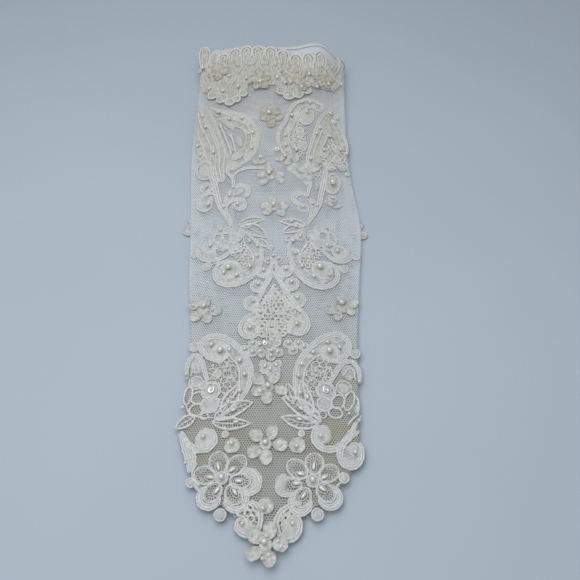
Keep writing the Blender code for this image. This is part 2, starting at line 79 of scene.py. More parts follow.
# A petal's thickness, its height over the base and its deepest dent.
PETAL_THICKNESS, PETAL_LIFT, PETAL_DENT = 0.16, 0.2, 0.15
SEQUIN_FACETS = 10
# Left free under every fill.
FILL_GAP = 0.02
# Radii of the pearls in the flowers and between the motifs, and the first flower's seed.
FLOWER_PEARL, LACE_PEARL = 1.6, 1.8
FLOWER_SEED = 300

# The photo's camera: place in metres, tilt and roll in degrees, lens and sensor in millimetres.
CAMERA_PLACE = (0.0152, -0.2816, 0.365)
CAMERA_TILT, CAMERA_ROLL = 35.0, 0.6
CAMERA_LENS, CAMERA_SENSOR = 44.13, 36.0
# The floor's half side and height, in metres.
FLOOR_SIDE, FLOOR_Z = 1.5, -0.0004

WHITE = (1.0, 1.0, 1.0)
# Numbers of the looks in LOOKS.
(TULLE, CORD, STITCH, THREAD, CLOTH, ORGANZA, BEIGE, PEARL, SEQUIN, ELASTIC, SATIN,
 GROUND) = range(12)

# (y, middle x, half width, fold radius, crown height) of the tulle tube.
STATIONS = np.array((
    (-190.0, -2.5, 47.0, 1.25, 0.0), (-160.0, -2.0, 47.0, 1.25, 1.2),
    (-130.0, -1.5, 47.5, 1.25, 3.5), (-60.0, -1.5, 49.5, 1.25, 6.0),
    (-20.0, -2.5, 53.5, 1.25, 7.0), (25.0, -2.5, 56.5, 1.25, 7.0),
    (60.0, -6.0, 56.0, 1.3, 8.0), (100.0, -8.5, 56.0, 1.6, 9.5),
    (150.0, -8.5, 56.0, 3.2, 9.5), (190.0, -8.5, 56.0, 6.5, 9.0),
))
# (y, half width) of the single-layer point.
POINT = np.array((
    (-186.0, 3.0), (-179.0, 7.0), (-172.0, 11.5), (-165.0, 18.0), (-158.0, 27.0),
    (-151.0, 36.0), (-144.0, 41.0), (-137.0, 44.0), (-130.0, 46.25),
))


# ---------------------------------------------------------------- the cloth's surface


def between(y, column):
    """A column of the station table at y, on a smooth curve through the stations."""
    y = np.clip(np.asarray(y, float), STATIONS[0, 0], STATIONS[-1, 0])
    i = np.clip(np.searchsorted(STATIONS[:, 0], y, side="right") - 1, 0, len(STATIONS) - 2)
    before, after = np.maximum(i - 1, 0), np.minimum(i + 2, len(STATIONS) - 1)
    ys, values = STATIONS[:, 0], STATIONS[:, column]
    span = ys[i + 1] - ys[i]
    t = (y - ys[i]) / span
    slope_start = (values[i + 1] - values[before]) / (ys[i + 1] - ys[before]) * span
    slope_end = (values[after] - values[i]) / (ys[after] - ys[i]) * span
    return (
        (2 * t**3 - 3 * t**2 + 1) * values[i] + (t**3 - 2 * t**2 + t) * slope_start
        + (3 * t**2 - 2 * t**3) * values[i + 1] + (t**3 - t**2) * slope_end
    )


def ease(value, low, high):
    """0 below low, 1 above high, smooth between them."""
    t = np.clip((value - low) / (high - low), 0.0, 1.0)
    return t * t * (3 - 2 * t)


def top_z(x, y):
    """Height of the tulle's upper layer, with the soft ripples of cloth that has been worn."""
    radius = between(y, 3)
    t = np.minimum(np.abs(x - between(y, 1)) / (between(y, 2) - radius), 1.0)
    soft, boxy = (1 - t**3) ** 1.5, (1 - t**4) ** 1.2
    crown = between(y, 4) * (soft + (boxy - soft) * ease(y, 90, 185))
    arch = ARCH_HEIGHT * ease(y, 158, 189) * (1 - t**8) * np.exp(
        -(((x - ARCH_X) / ARCH_WIDTH) ** 2))
    base = TIP_TOP_Z + (UNDER_Z + 2 * radius - TIP_TOP_Z) * ease(y, TIP_Y, HAND_Y)
    ripple = sum(share * np.sin(wave_x * x + wave_y * y + phase)
                 for wave_x, wave_y, phase, share in WAVES)
    return base + crown + arch + RIPPLE * ripple * (1 - t**4)


hem_low, hem_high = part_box("palm_hem")
ZERO = [(hem_low[i] + hem_high[i]) / 2 / MM - HEM_MIDDLE[i] for i in (0, 1)]


def to_frame(points):
    """Pattern millimetres to the frame's metres."""
    placed = np.array(points, float)
    placed[:, 0] += ZERO[0]
    placed[:, 1] += ZERO[1]
    return placed * MM


def node_place(node):
    """(x, y) of the middle of a CAD node, in pattern millimetres."""
    low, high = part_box(node)
    return [(low[i] + high[i]) / 2 / MM - ZERO[i] for i in (0, 1)]


# ---------------------------------------------------------------- materials


def new_look(name, colour, roughness, sockets=()):
    """A Principled material and a helper that adds and wires its nodes."""
    made = bpy.data.materials.new(name)
    made.use_nodes = True
    tree = made.node_tree
    shader = tree.nodes["Principled BSDF"]
    shader.inputs["Base Color"].default_value = (*colour, 1.0)
    shader.inputs["Roughness"].default_value = roughness
    for socket, value in dict(sockets).items():
        shader.inputs[socket].default_value = value

    def add(kind, inputs=(), **settings):
        """A new node, with sockets as inputs linked and plain values set."""
        node = tree.nodes.new(kind)
        for setting, value in settings.items():
            setattr(node, setting, value)
        for socket, value in dict(inputs).items():
            if isinstance(value, bpy.types.NodeSocket):
                tree.links.new(value, node.inputs[socket])
            else:
                node.inputs[socket].default_value = value
        return node

    return made, tree, shader, add


def math_node(add, operation, a, b=0.0, c=0.0):
    """The output of a math node."""
    return add("ShaderNodeMath", {0: a, 1: b, 2: c}, operation=operation).outputs[0]


def from_floor(add, value, floor):
    """A value from 0 to 1 squeezed between a floor and 1."""
    return math_node(add, "MULTIPLY_ADD", value, math_node(add, "SUBTRACT", 1.0, floor), floor)


def vector_node(add, operation, a, b):
    """The vector from a vector math node."""
    socket = "Scale" if operation == "SCALE" else 1
    return add("ShaderNodeVectorMath", {0: a, socket: b}, operation=operation).outputs["Vector"]


def noise_node(add, place, scale, detail, output="Fac", **inputs):
    """The output of a noise texture."""
    return add("ShaderNodeTexNoise", {"Vector": place, "Scale": scale, "Detail": detail,
                                      **inputs}).outputs[output]


def range_node(add, value, low, high, to_low=0.0, to_high=1.0):
    """A value moved from one range to another and held at its ends."""
    return add("ShaderNodeMapRange", {"Value": value, "From Min": low, "From Max": high,
                                      "To Min": to_low, "To Max": to_high}).outputs["Result"]


def ramp_node(add, part, *stops):
    """The colour that a part has on a ramp with these (position, colour) stops."""
    ramp = add("ShaderNodeValToRGB", {"Fac": part})
    elements = ramp.color_ramp.elements
    for number, (position, colour) in ((0, stops[0]), (1, stops[-1])):
        elements[number].position, elements[number].color = position, (*colour, 1.0)
    for position, colour in stops[1:-1]:
        elements.new(position).color = (*colour, 1.0)
    return ramp.outputs["Color"]


def object_place(add):
    """Where a point lies in its object, in metres."""
    return add("ShaderNodeTexCoord").outputs["Object"]


def tint(tree, shader, add, dark, light, scale, shade=None, tone=None):
    """Soft variation of colour over the piece, as dyed and handled cloth has; a shade and a tone,
    where given, scale and tint it as painted shade.
    """
    place = object_place(add)
    colour = ramp_node(add, noise_node(add, place, scale, 4.0), (0.35, dark), (0.65, light))
    if shade is not None:
        colour = vector_node(add, "SCALE", colour, shade)
    if tone is not None:
        colour = vector_node(add, "MULTIPLY", colour, tone)
    tree.links.new(colour, shader.inputs["Base Color"])
    return place


def arm_end_shade(add):
    """Painted shade: a tone that darkens and warms a little from the wrist to the arm opening,
    where the light falls off.
    """
    along = add("ShaderNodeSeparateXYZ", {"Vector": object_place(add)}).outputs["Y"]
    return ramp_node(add, range_node(add, along, 0.04, 0.13), (0.0, WHITE),
                     (1.0, (0.985, 0.965, 0.915)))


def add_bump(tree, shader, add, height, strength, distance):
    """Tilts the surface's shading by a height texture."""
    bump = add("ShaderNodeBump", {"Height": height, "Strength": strength, "Distance": distance})
    tree.links.new(bump.outputs["Normal"], shader.inputs["Normal"])


def uv_parts(add):
    """The two texture coordinates of a piece, in millimetres along and lanes across."""
    place = add("ShaderNodeUVMap", uv_map="UVMap").outputs["UV"]
    parts = add("ShaderNodeSeparateXYZ", {"Vector": place})
    return place, parts.outputs["X"], parts.outputs["Y"]


def hexagon_edge(add, place, cell):
    """0 at the middle of each hexagon of a net and 0.5 on its threads."""
    size, half = (1.0, math.sqrt(3.0), 1.0), (0.5, math.sqrt(3.0) / 2, 0.0)
    ahead = 400.0  # cells: keeps what the modulo takes above zero
    scaled = add("ShaderNodeVectorMath", {0: place, 1: (1 / cell, 1 / cell, 0.0),
                                          2: (ahead, ahead * size[1], 0.0)},
                 operation="MULTIPLY_ADD").outputs[0]
    norms = []
    for shift in ((0.0, 0.0, 0.0), half):
        moved = vector_node(add, "SUBTRACT", scaled, shift)
        wrapped = vector_node(add, "MODULO", moved, size)
        centred = vector_node(add, "SUBTRACT", wrapped, half)
        out = add("ShaderNodeVectorMath", {0: centred}, operation="ABSOLUTE").outputs["Vector"]
        slanted = add("ShaderNodeVectorMath", {0: out, 1: half},
                      operation="DOT_PRODUCT").outputs["Value"]
        straight = add("ShaderNodeSeparateXYZ", {"Vector": out}).outputs["X"]
        norms.append(math_node(add, "MAXIMUM", slanted, straight))
    return math_node(add, "MINIMUM", *norms)


def net_alpha(tree, shader, add, place, cell, thread, painted_shadow_cover=0.0):
    """Opens the holes of a hexagonal net, whose threads are this part of a cell wide.

    The last argument is the part of each hole left opaque, as painted shadow in the holes; 0 leaves
    them clear."""
    edge = hexagon_edge(add, place, cell)
    shown = range_node(add, edge, 0.5 - thread * 0.62, 0.5 - thread * 0.38)
    tree.links.new(from_floor(add, shown, painted_shadow_cover), shader.inputs["Alpha"])
    return edge, shown


def tulle_look():
    """Sheer hexagonal net with painted shade: its holes partly covered and darkened, most over the
    hand, and warm painted shade in patches at its sides over the hand; clearer up the arm.
    """
    made, tree, shader, add = new_look("tulle_net", (0.80, 0.80, 0.77), 0.62, {
        "Sheen Weight": 0.25, "Sheen Roughness": 0.45, "Specular IOR Level": 0.35})
    place, across, along = uv_parts(add)
    # Painted shadow: part of each hole left covered, most at the hand end, less up the arm.
    painted_shadow_cover = range_node(add, along, -130.0, 30.0, 0.34, 0.09)
    edge, shown = net_alpha(tree, shader, add, place, TULLE_CELL, TULLE_THREAD, painted_shadow_cover)
    add_bump(tree, shader, add, edge, 0.5, 0.0002)
    # Painted shade: the net darker and warmer towards the hand end; bluish in the middle and greyer
    # up the arm.
    tone = ramp_node(add, range_node(add, along, -130.0, 130.0), (0.0, (0.62, 0.61, 0.55)),
                     (0.5, (0.80, 0.86, 0.91)), (1.0, (0.86, 0.865, 0.86)))
    # Painted shade: warm dark patches at the sides of the net over the hand, where the layers
    # beneath shade it.
    side = range_node(add, math_node(add, "ABSOLUTE", across), 9.0, 24.0)
    hand = range_node(add, along, -60.0, -110.0)
    patch = range_node(add, noise_node(add, place, 0.07, 2.0), 0.35, 0.6)
    palm_shade_mask = math_node(add, "MULTIPLY", math_node(add, "MULTIPLY", side, hand), patch)
    palm_shade_tint = ramp_node(add, palm_shade_mask, (0.0, WHITE), (1.0, (0.98, 0.94, 0.79)))
    # Painted shade: the covered part of each hole darkened, darkest at the hand end.
    hole_shade = range_node(add, along, -130.0, -50.0, 0.3, 0.72)
    shaded = vector_node(add, "SCALE", tone, from_floor(add, shown, hole_shade))
    tree.links.new(vector_node(add, "MULTIPLY", shaded, palm_shade_tint), shader.inputs["Base Color"])
    return made


def cord_look():
    """Satin cord: fine threads twisted round each ridge."""
    made, tree, shader, add = new_look("satin_cord", (0.86, 0.84, 0.79), 0.46, {
        "Sheen Weight": 0.3, "Sheen Roughness": 0.4, "Specular IOR Level": 0.5})
    _, along, lane = uv_parts(add)
    # Painted shade: the colour darker down the sides of each ridge and in the valleys between
    # ridges.
    ridge = math_node(add, "ABSOLUTE", math_node(add, "SINE", math_node(
        add, "MULTIPLY", lane, math.pi)))
    shade = math_node(add, "MULTIPLY_ADD", math_node(add, "POWER", ridge, 0.6), 0.40, 0.60)
    tint(tree, shader, add, (0.62, 0.625, 0.60), (0.82, 0.83, 0.82), 900.0, shade,
         arm_end_shade(add))
    knots = noise_node(add, object_place(add), 1500.0, 3.0)
    turn = math_node(add, "MULTIPLY_ADD", along, 6.2, math_node(add, "MULTIPLY", lane, 2.6))
    twist = math_node(add, "MULTIPLY", math_node(add, "SINE", turn), 0.3)
    total = math_node(add, "MULTIPLY_ADD", knots, 2.2, twist)
    add_bump(tree, shader, add, total, 0.6, 0.0002)
    return made


def stitch_look():
    """Satin stitch: close threads laid straight across a band or a petal."""
    made, tree, shader, add = new_look("satin_stitch", (0.88, 0.865, 0.82), 0.42, {
        "Sheen Weight": 0.3, "Sheen Roughness": 0.35, "Specular IOR Level": 0.5})
    _, along, _ = uv_parts(add)
    wander = noise_node(add, object_place(add), 500.0, 2.0)
    row = math_node(add, "MULTIPLY_ADD", along, 9.0, math_node(add, "MULTIPLY", wander, 9.0))
    rows = math_node(add, "SINE", row)
    # Painted shade: the colour a little darker in the grooves between the rows of stitches.
    shade = math_node(add, "MULTIPLY_ADD", rows, 0.1, 0.88)
    tint(tree, shader, add, (0.66, 0.655, 0.615), (0.80, 0.805, 0.79), 350.0, shade,
         arm_end_shade(add))
    add_bump(tree, shader, add, rows, 0.6, 0.00018)
    return made


def thread_look():
    """Plain embroidery thread, a little fuzzy."""
    made, tree, shader, add = new_look("embroidery_thread", (0.85, 0.83, 0.78), 0.7, {
        "Sheen Weight": 0.35, "Sheen Roughness": 0.5})
    place = tint(tree, shader, add, (0.66, 0.645, 0.60), (0.78, 0.77, 0.73), 300.0,
                 tone=arm_end_shade(add))
    add_bump(tree, shader, add, noise_node(add, place, 3500.0, 3.0), 0.5, 0.0001)
    return made


def cloth_look(name, dark, light):
    """The fine close net that fills the channels between cords."""
    made, tree, shader, add = new_look(name, light, 0.7, {
        "Sheen Weight": 0.2, "Sheen Roughness": 0.5})
    place = tint(tree, shader, add, dark, light, 300.0, tone=arm_end_shade(add))
    weave = vector_node(add, "MULTIPLY", place, (1000.0, 1000.0, 0.0))
    bent = vector_node(add, "ADD", weave, noise_node(add, place, 900.0, 1.0, "Color"))
    edge, _ = net_alpha(tree, shader, add, bent, 0.62, 0.44)
    add_bump(tree, shader, add, edge, 0.6, 0.00015)
    return made


def organza_look(name, colour, shade):
    """Crisp sheer organza, creased and mottled where the layers of a petal show through."""
    made, tree, shader, add = new_look(name, colour, 0.3, {
        "Sheen Weight": 0.2, "Sheen Roughness": 0.3, "Specular IOR Level": 0.6,
        "Coat Weight": 0.5, "Coat Roughness": 0.16})
    place = tint(tree, shader, add, shade, colour, 620.0)
    weave = vector_node(add, "MULTIPLY", place, (16000.0, 16000.0, 0.0))
    parts = add("ShaderNodeSeparateXYZ", {"Vector": weave})
    threads = [math_node(add, "SINE", parts.outputs[axis]) for axis in ("X", "Y")]
    height = math_node(add, "ADD", *threads)
    crease = noise_node(add, place, 480.0, 3.0, Distortion=0.8)
    total = math_node(add, "MULTIPLY_ADD", crease, 6.0, height)
    add_bump(tree, shader, add, total, 0.5, 0.0001)
    cover = range_node(add, noise_node(add, place, 300.0, 2.0), 0.35, 0.6, 0.74, 1.0)
    tree.links.new(cover, shader.inputs["Alpha"])
    return made


def pearl_look():
    """Nacre: clear coat over a cream body with cloudy variation, darkened towards its outline as
    painted shade.
    """
    made, tree, shader, add = new_look("nacre", (0.62, 0.59, 0.52), 0.2, {
        "Coat Weight": 1.0, "Coat Roughness": 0.05, "Specular IOR Level": 0.8,
        "Metallic": 0.12})
    # Painted shade: the body darker towards the pearl's outline as seen.
    facing = add("ShaderNodeLayerWeight", {"Blend": 0.45}).outputs["Facing"]
    cloud = noise_node(add, object_place(add), 380.0, 3.0)
    mixed = math_node(add, "MULTIPLY_ADD", cloud, 0.35, facing)
    colour = ramp_node(add, mixed, (0.1, (0.82, 0.80, 0.75)), (0.45, (0.77, 0.745, 0.68)),
                       (0.7, (0.64, 0.61, 0.54)), (1.0, (0.46, 0.44, 0.38)))
    tree.links.new(colour, shader.inputs["Base Color"])
    return made


def sequin_look():
    """Clear iridescent sequins and crystals."""
    made, tree, shader, add = new_look("iridescent_sequin", (0.86, 0.88, 0.88), 0.1, {
        "Metallic": 0.35, "Specular IOR Level": 0.9, "Thin Film Thickness": 420.0,
        "Thin Film IOR": 1.5, "Coat Weight": 1.0, "Coat Roughness": 0.04})
    tint(tree, shader, add, (0.78, 0.84, 0.86), (0.93, 0.90, 0.88), 300.0)
    return made


def ribbon_look(name, colour, roughness, rib):
    """Woven ribbon or elastic, with ribs across it at this spacing in millimetres."""
    made, tree, shader, add = new_look(name, colour, roughness, {
        "Sheen Weight": 0.3, "Sheen Roughness": 0.35, "Specular IOR Level": 0.5})
    tint(tree, shader, add, [c * 0.92 for c in colour], colour, 80.0)
    _, along, across = uv_parts(add)
    ribs = math_node(add, "SINE", math_node(add, "MULTIPLY", along, 2 * math.pi / rib))
    weft = math_node(add, "SINE", math_node(add, "MULTIPLY", across, 2 * math.pi / 0.35))
    add_bump(tree, shader, add, math_node(add, "MULTIPLY_ADD", weft, 0.3, ribs), 0.6, 0.00015)
    return made


# ------------------------------------------------------------------ curves


def smooth(points, step=0.45, closed=False):
    """Points (x, y, width) a step apart along a smooth curve through the given ones."""
    given = np.array([tuple(p) + (1.0,) * (3 - len(p)) for p in points], float)
    if closed:
        padded = np.vstack([given[-1:], given, given[:2]])
    else:
        padded = np.vstack([2 * given[0] - given[1], given, 2 * given[-1] - given[-2]])
    rows = []
    for a, b, c, d in zip(padded, padded[1:], padded[2:], padded[3:]):
        count = max(2, math.ceil(math.hypot(*(c - b)[:2]) / step))
        t = np.arange(count)[:, None] / count
        rows.append(0.5 * (2 * b + (c - a) * t + (2 * a - 5 * b + 4 * c - d) * t**2
                           + (3 * b - a - 3 * c + d) * t**3))
    if not closed:
        rows.append(given[-1:])
    return np.vstack(rows)


def spiral(x, y, radius, start, turns, width, inner=0.45, sense=1):
    """Points (x, y, width) of a curl that winds inward from an angle in degrees."""
    found = []
    count = max(4, round(abs(turns) * 12))
    for i in range(count + 1):
        t = i / count
        angle = math.radians(start + sense * 360 * turns * t)
        reach = radius * (1 - (1 - inner) * t)
        found.append((x + reach * math.cos(angle), y + reach * math.sin(angle),
                      width * (1 - 0.35 * t)))
    return found


def oval(x, y, long, wide, turn, points=12):
    """Points of an ellipse whose long half axis is turned from +X by degrees."""
    wide = long if wide is None else wide
    c, s = math.cos(math.radians(turn)), math.sin(math.radians(turn))
    found = []
    for i in range(points):
        angle = 2 * math.pi * i / points
        u, v = long * math.cos(angle), wide * math.sin(angle)
        found.append((x + u * c - v * s, y + u * s + v * c))
    return found


def inside(points, outline):
    """True for the points inside a closed outline."""
    within = np.zeros(len(points), bool)
    x, y = points[:, 0], points[:, 1]
    ends = np.roll(outline, -1, axis=0)
    for (xa, ya), (xb, yb) in zip(outline[:, :2], ends[:, :2]):
        if ya == yb:
            continue
        crosses = ((ya > y) != (yb > y)) & (x < xa + (y - ya) * (xb - xa) / (yb - ya))
        within ^= crosses
    return within


# ------------------------------------------------------------- piece maker


class Piece:
    """A piece while it is being sewn: points as (x, y, height over the tulle)."""

    def __init__(self, base=LACE_BASE, seed=1):
        self.base = base
        self.points, self.uvs, self.faces, self.looks = [], [], [], []
        self.count = 0
        self.random = np.random.default_rng(seed)

    def add(self, points, uvs, faces, look):
        """Adds points, and faces given as equal-sized rows of point numbers."""
        faces = np.asarray(faces)
        self.points.append(np.asarray(points, float))
        self.uvs.append(np.asarray(uvs, float))
        self.faces.append(faces + self.count)
        self.looks.append(np.full(len(faces), look))
        self.count += len(points)

    def add_rings(self, rings, uvs, look, closed=False, capped=True, open_section=False):
        """Adds a tube or a strip from its rings of points, a row each."""
        rows, columns = rings.shape[:2]
        last_row = rows if closed else rows - 1
        last_column = columns - 1 if open_section else columns
        i, j = np.meshgrid(np.arange(last_row), np.arange(last_column), indexing="ij")
        a, b = i * columns + j, i * columns + (j + 1) % columns
        up = ((i + 1) % rows - i) * columns
        quads = np.stack([a, a + up, b + up, b], axis=-1).reshape(-1, 4)
        self.add(rings.reshape(-1, 3), uvs.reshape(-1, 2), quads, look)
        if capped and not closed:
            ring, last = np.arange(columns), (rows - 1) * columns
            first = self.count - rows * columns
            for ends in (ring, ring[::-1] + last):
                self.faces.append(ends[None, :] + first)
                self.looks.append(np.array([look]))

    def drift(self, gone):
        """Slow random waves along a length, from -1 to 1, as handwork wanders."""
        waves = np.maximum(np.round(max(gone[-1], 1.0) / np.array(DRIFT_LENGTHS)), 1)
        phase = self.random.uniform(0, 2 * math.pi, 3)
        turns = 2 * math.pi * waves * gone[:, None] / max(gone[-1], 1.0) + phase
        return np.sin(turns) @ np.array(DRIFT_SHARES)

    def cord(self, points, width, height=None, lanes=1, base=None, closed=False, look=CORD):
        """Cords side by side along a curve: each lane is one rounded ridge."""
        path = smooth(points, closed=closed)
        path[:, 2] *= width
        if closed:
            before, after = np.roll(path, 1, axis=0), np.roll(path, -1, axis=0)
        else:
            before = np.vstack([path[:1], path[:-1]])
            after = np.vstack([path[1:], path[-1:]])
        way = (after - before)[:, :2]
        way /= np.maximum(np.linalg.norm(way, axis=1, keepdims=True), 1e-9)
        normal = np.stack([-way[:, 1], way[:, 0]], axis=1)
        steps = np.linalg.norm(np.diff(path[:, :2], axis=0), axis=1)
        gone = np.concatenate([[0], np.cumsum(steps)])
        path[:, :2] += normal * self.drift(gone)[:, None] * WANDER
        path[:, 2] *= 1 + WANDER * self.drift(gone)
        turn = np.linspace(0, math.pi, 7 if lanes == 1 else 5)
        bump, across = np.sin(turn), (1 - np.cos(turn)) / 2
        lane = np.concatenate([k + (across[1:] if k else across) for k in range(lanes)])
        rise = np.concatenate([bump[1:] if k else bump for k in range(lanes)])
        valley = np.where((lane > 0) & (lane < lanes), VALLEY, 0.0)
        crown = 1 - 0.25 * (2 * lane / lanes - 1) ** 2
        profile = (valley + (1 - valley) * rise) * crown
        each = path[:, 2] / lanes
        rise_by = each * RIDGE if height is None else np.full(len(path), float(height))
        if not closed:
            run = np.arange(len(path))
            taper = np.clip((np.minimum(run, run[::-1]) + 1) / 3, 0.3, 1.0)
            rise_by = rise_by * taper
        reach = (lane / lanes - 0.5)[None, :] * path[:, 2:3]
        rings = np.empty((len(path), len(lane), 3))
        rings[..., 0] = path[:, :1] + normal[:, :1] * reach
        rings[..., 1] = path[:, 1:2] + normal[:, 1:] * reach
        low = self.base if base is None else base
        rings[..., 2] = low + profile[None, :] * rise_by[:, None]
        uvs = np.stack(np.broadcast_arrays(gone[:, None], lane[None, :]), axis=-1)
        self.add_rings(rings, uvs, look, closed=closed)

    def stitch(self, points, width, height=0.55):
        """A broad band of satin stitch."""
        self.cord(points, width, height, look=STITCH)

    def thread(self, points, width, lift=0.1):
        """A single thin thread."""
        self.cord(points, width, width * 0.7, base=self.base + lift, look=THREAD)

    def ring(self, x, y, radius, width, wide=None, turn=0.0, height=None, lanes=1):
        """A closed ring of cord."""
        self.cord(oval(x, y, radius, wide, turn), width, height, lanes=lanes, closed=True)

    def fill(self, outline, height, dome=0.0, look=CLOTH, base=None, pitch=1.1):
        """A patch of cloth inside an outline, domed towards its middle, with an even thickness."""
        edge = smooth(outline, 0.8, closed=True)[:, :2]
        low, high = edge.min(axis=0), edge.max(axis=0)
        xs, ys = np.arange(low[0], high[0], pitch), np.arange(low[1], high[1], pitch)
        grid = np.stack(np.meshgrid(xs, ys), axis=-1).reshape(-1, 2)
        grid = grid[inside(grid, edge)]
        near = np.min(np.linalg.norm(grid[:, None] - edge[None], axis=2), axis=1)
        everything = np.vstack([edge, grid[near > pitch * 0.5]])
        found = delaunay_2d_cdt([Vector(p) for p in everything], [], [list(range(len(edge)))],
                                1, 1e-5)
        spots = np.array([tuple(p) for p in found[0]])
        faces = np.array([f for f in found[2] if len(f) == 3])
        reach = np.min(np.linalg.norm(spots[:, None] - edge[None], axis=2), axis=1)
        lift = dome * (1 - (1 - reach / max(reach.max(), 0.1)) ** 2)
        floor = (self.base if base is None else base) + FILL_GAP
        top = np.column_stack([spots, floor + lift + height])
        under = np.column_stack([spots, floor + lift * 0.6])
        uvs = np.vstack([spots, spots])
        self.add(np.vstack([top, under]), uvs,
                 np.vstack([faces, faces[:, ::-1] + len(spots)]), look)
        first = self.count - 2 * len(spots)
        sides = {(int(a), int(b)) for f in faces for a, b in zip(f, np.roll(f, -1))}
        rim = [(b, a, a + len(spots), b + len(spots)) for a, b in sorted(sides)
               if (b, a) not in sides]
        self.faces.append(np.array(rim) + first)
        self.looks.append(np.full(len(rim), look))

    def patch(self, x, y, long, wide=None, turn=0.0, height=0.3, dome=0.2, look=STITCH, base=None,
              pitch=1.1):
        """An oval fill, of satin stitch if nothing else is said."""
        self.fill(oval(x, y, long, wide, turn), height, dome, look, base, pitch)

    def net(self, outline, cell, width):
        """An openwork ground of irregular meshes inside an outline."""
        edge = smooth(outline, 0.8, closed=True)[:, :2]
        cell, width = cell * MESH_SCALE, width * MESH_THREAD_SCALE
        low, high = edge.min(axis=0) - 2 * cell, edge.max(axis=0) + 2 * cell
        xs, ys = np.arange(low[0], high[0], cell), np.arange(low[1], high[1], cell * 0.866)
        grid = np.stack(np.meshgrid(xs, ys), axis=-1)
        grid[1::2, :, 0] += cell / 2
        grid = grid.reshape(-1, 2)
        grid = grid + self.random.uniform(-0.3, 0.3, grid.shape) * cell
        found = delaunay_2d_cdt([Vector(p) for p in grid], [], [], 0, 1e-5)
        spots = np.array([tuple(p) for p in found[0]])
        faces = [f for f in found[2] if len(f) == 3]
        middles = np.array([spots[f].mean(axis=0) for f in faces])
        owner, pairs = {}, []
        for number, face in enumerate(faces):
            for a, b in zip(face, face[1:] + face[:1]):
                if (b, a) in owner:
                    pairs.append((owner[(b, a)], number))
                owner[(a, b)] = number
        pairs = np.array(pairs)
        starts, ends = middles[pairs[:, 0]], middles[pairs[:, 1]]
        keep = inside((starts + ends) / 2, edge)
        self.add_threads(starts[keep], ends[keep], width)

    def add_threads(self, starts, ends, width):
        """Short straight threads, all made at once, a little thicker where they meet."""
        way = ends - starts
        length = np.linalg.norm(way, axis=1)
        keep = length > 0.15
        starts, ends, way, length = starts[keep], ends[keep], way[keep], length[keep]
        normal = np.stack([-way[:, 1], way[:, 0]], axis=1) / length[:, None]
        stations = np.array([-0.06, 0.2, 0.5, 0.8, 1.06])
        wider = np.array([1.3, 1.05, 0.9, 1.05, 1.3])
        turn = np.linspace(0, math.pi, 5)
        count = len(starts)
        points = np.empty((count, len(stations), len(turn), 3))
        middle = starts[:, None, :] + way[:, None, :] * stations[None, :, None]
        half = width / 2 * wider * self.random.uniform(0.8, 1.25, (count, 1))
        reach = -np.cos(turn)[None, None, :] * half[:, :, None]
        for axis in (0, 1):
            points[..., axis] = middle[:, :, None, axis] + normal[:, None, None, axis] * reach
        points[..., 2] = self.base + 0.05 + np.sin(turn)[None, None, :] * half[:, :, None] * 1.15
        rows, columns = len(stations), len(turn)
        block = rows * columns
        i, j = np.meshgrid(np.arange(rows - 1), np.arange(columns), indexing="ij")
        a, b = i * columns + j, i * columns + (j + 1) % columns
        quads = np.stack([a, a + columns, b + columns, b], axis=-1).reshape(-1, 4)
        ring = np.arange(columns)
        ends_of = np.stack([ring, ring[::-1] + (rows - 1) * columns])
        shift = (np.arange(count) * block)[:, None, None]
        along = stations[None, :, None] * length[:, None, None]
        uvs = np.stack(np.broadcast_arrays(along, turn / math.pi), axis=-1)
        self.add(points.reshape(-1, 3), uvs.reshape(-1, 2),
                 (quads[None] + shift).reshape(-1, 4), THREAD)
        first = self.count - count * block
        self.faces.append((ends_of[None] + shift).reshape(-1, columns) + first)
        self.looks.append(np.full(count * 2, THREAD))

    def leaf(self, root, tip, wide, bend=0.0):
        """A leaf of corded edges and a midrib, with threads laid between them."""
        (x0, y0), (x1, y1) = root, tip
        length = math.hypot(x1 - x0, y1 - y0)
        ux, uy = (x1 - x0) / length, (y1 - y0) / length
        nx, ny = -uy, ux

        def spot(t, side):
            """The place at a part of the length, on the midrib or towards a side of the leaf."""
            swell = 0.0
            if 0 < t < 1:
                swell = wide * LEAF_SWELL * math.sin(math.pi * t**0.8) ** 0.85
            off = side * swell + bend * 4 * t * (1 - t)
            return (x0 + ux * length * t + nx * off, y0 + uy * length * t + ny * off)

        marks = (0.0, 0.12, 0.3, 0.5, 0.7, 0.87, 1.0)
        for side in (1, -1):
            self.cord([spot(t, side) + (0.7 + 0.5 * math.sin(math.pi * t),) for t in marks],
                      LEAF_CORD)
        self.cord([spot(t, 0) + (0.9 - 0.4 * t,) for t in (0.0, 0.4, 0.85)], LEAF_CORD * 0.85)
        count = max(2, int(length / LEAF_LADDER))
        for i in range(1, count):
            t = i / count
            for side in (1, -1):
                ahead = min(t + 0.09, 0.98)
                self.thread([spot(t, 0), spot(ahead, side * 0.92)], 0.4)

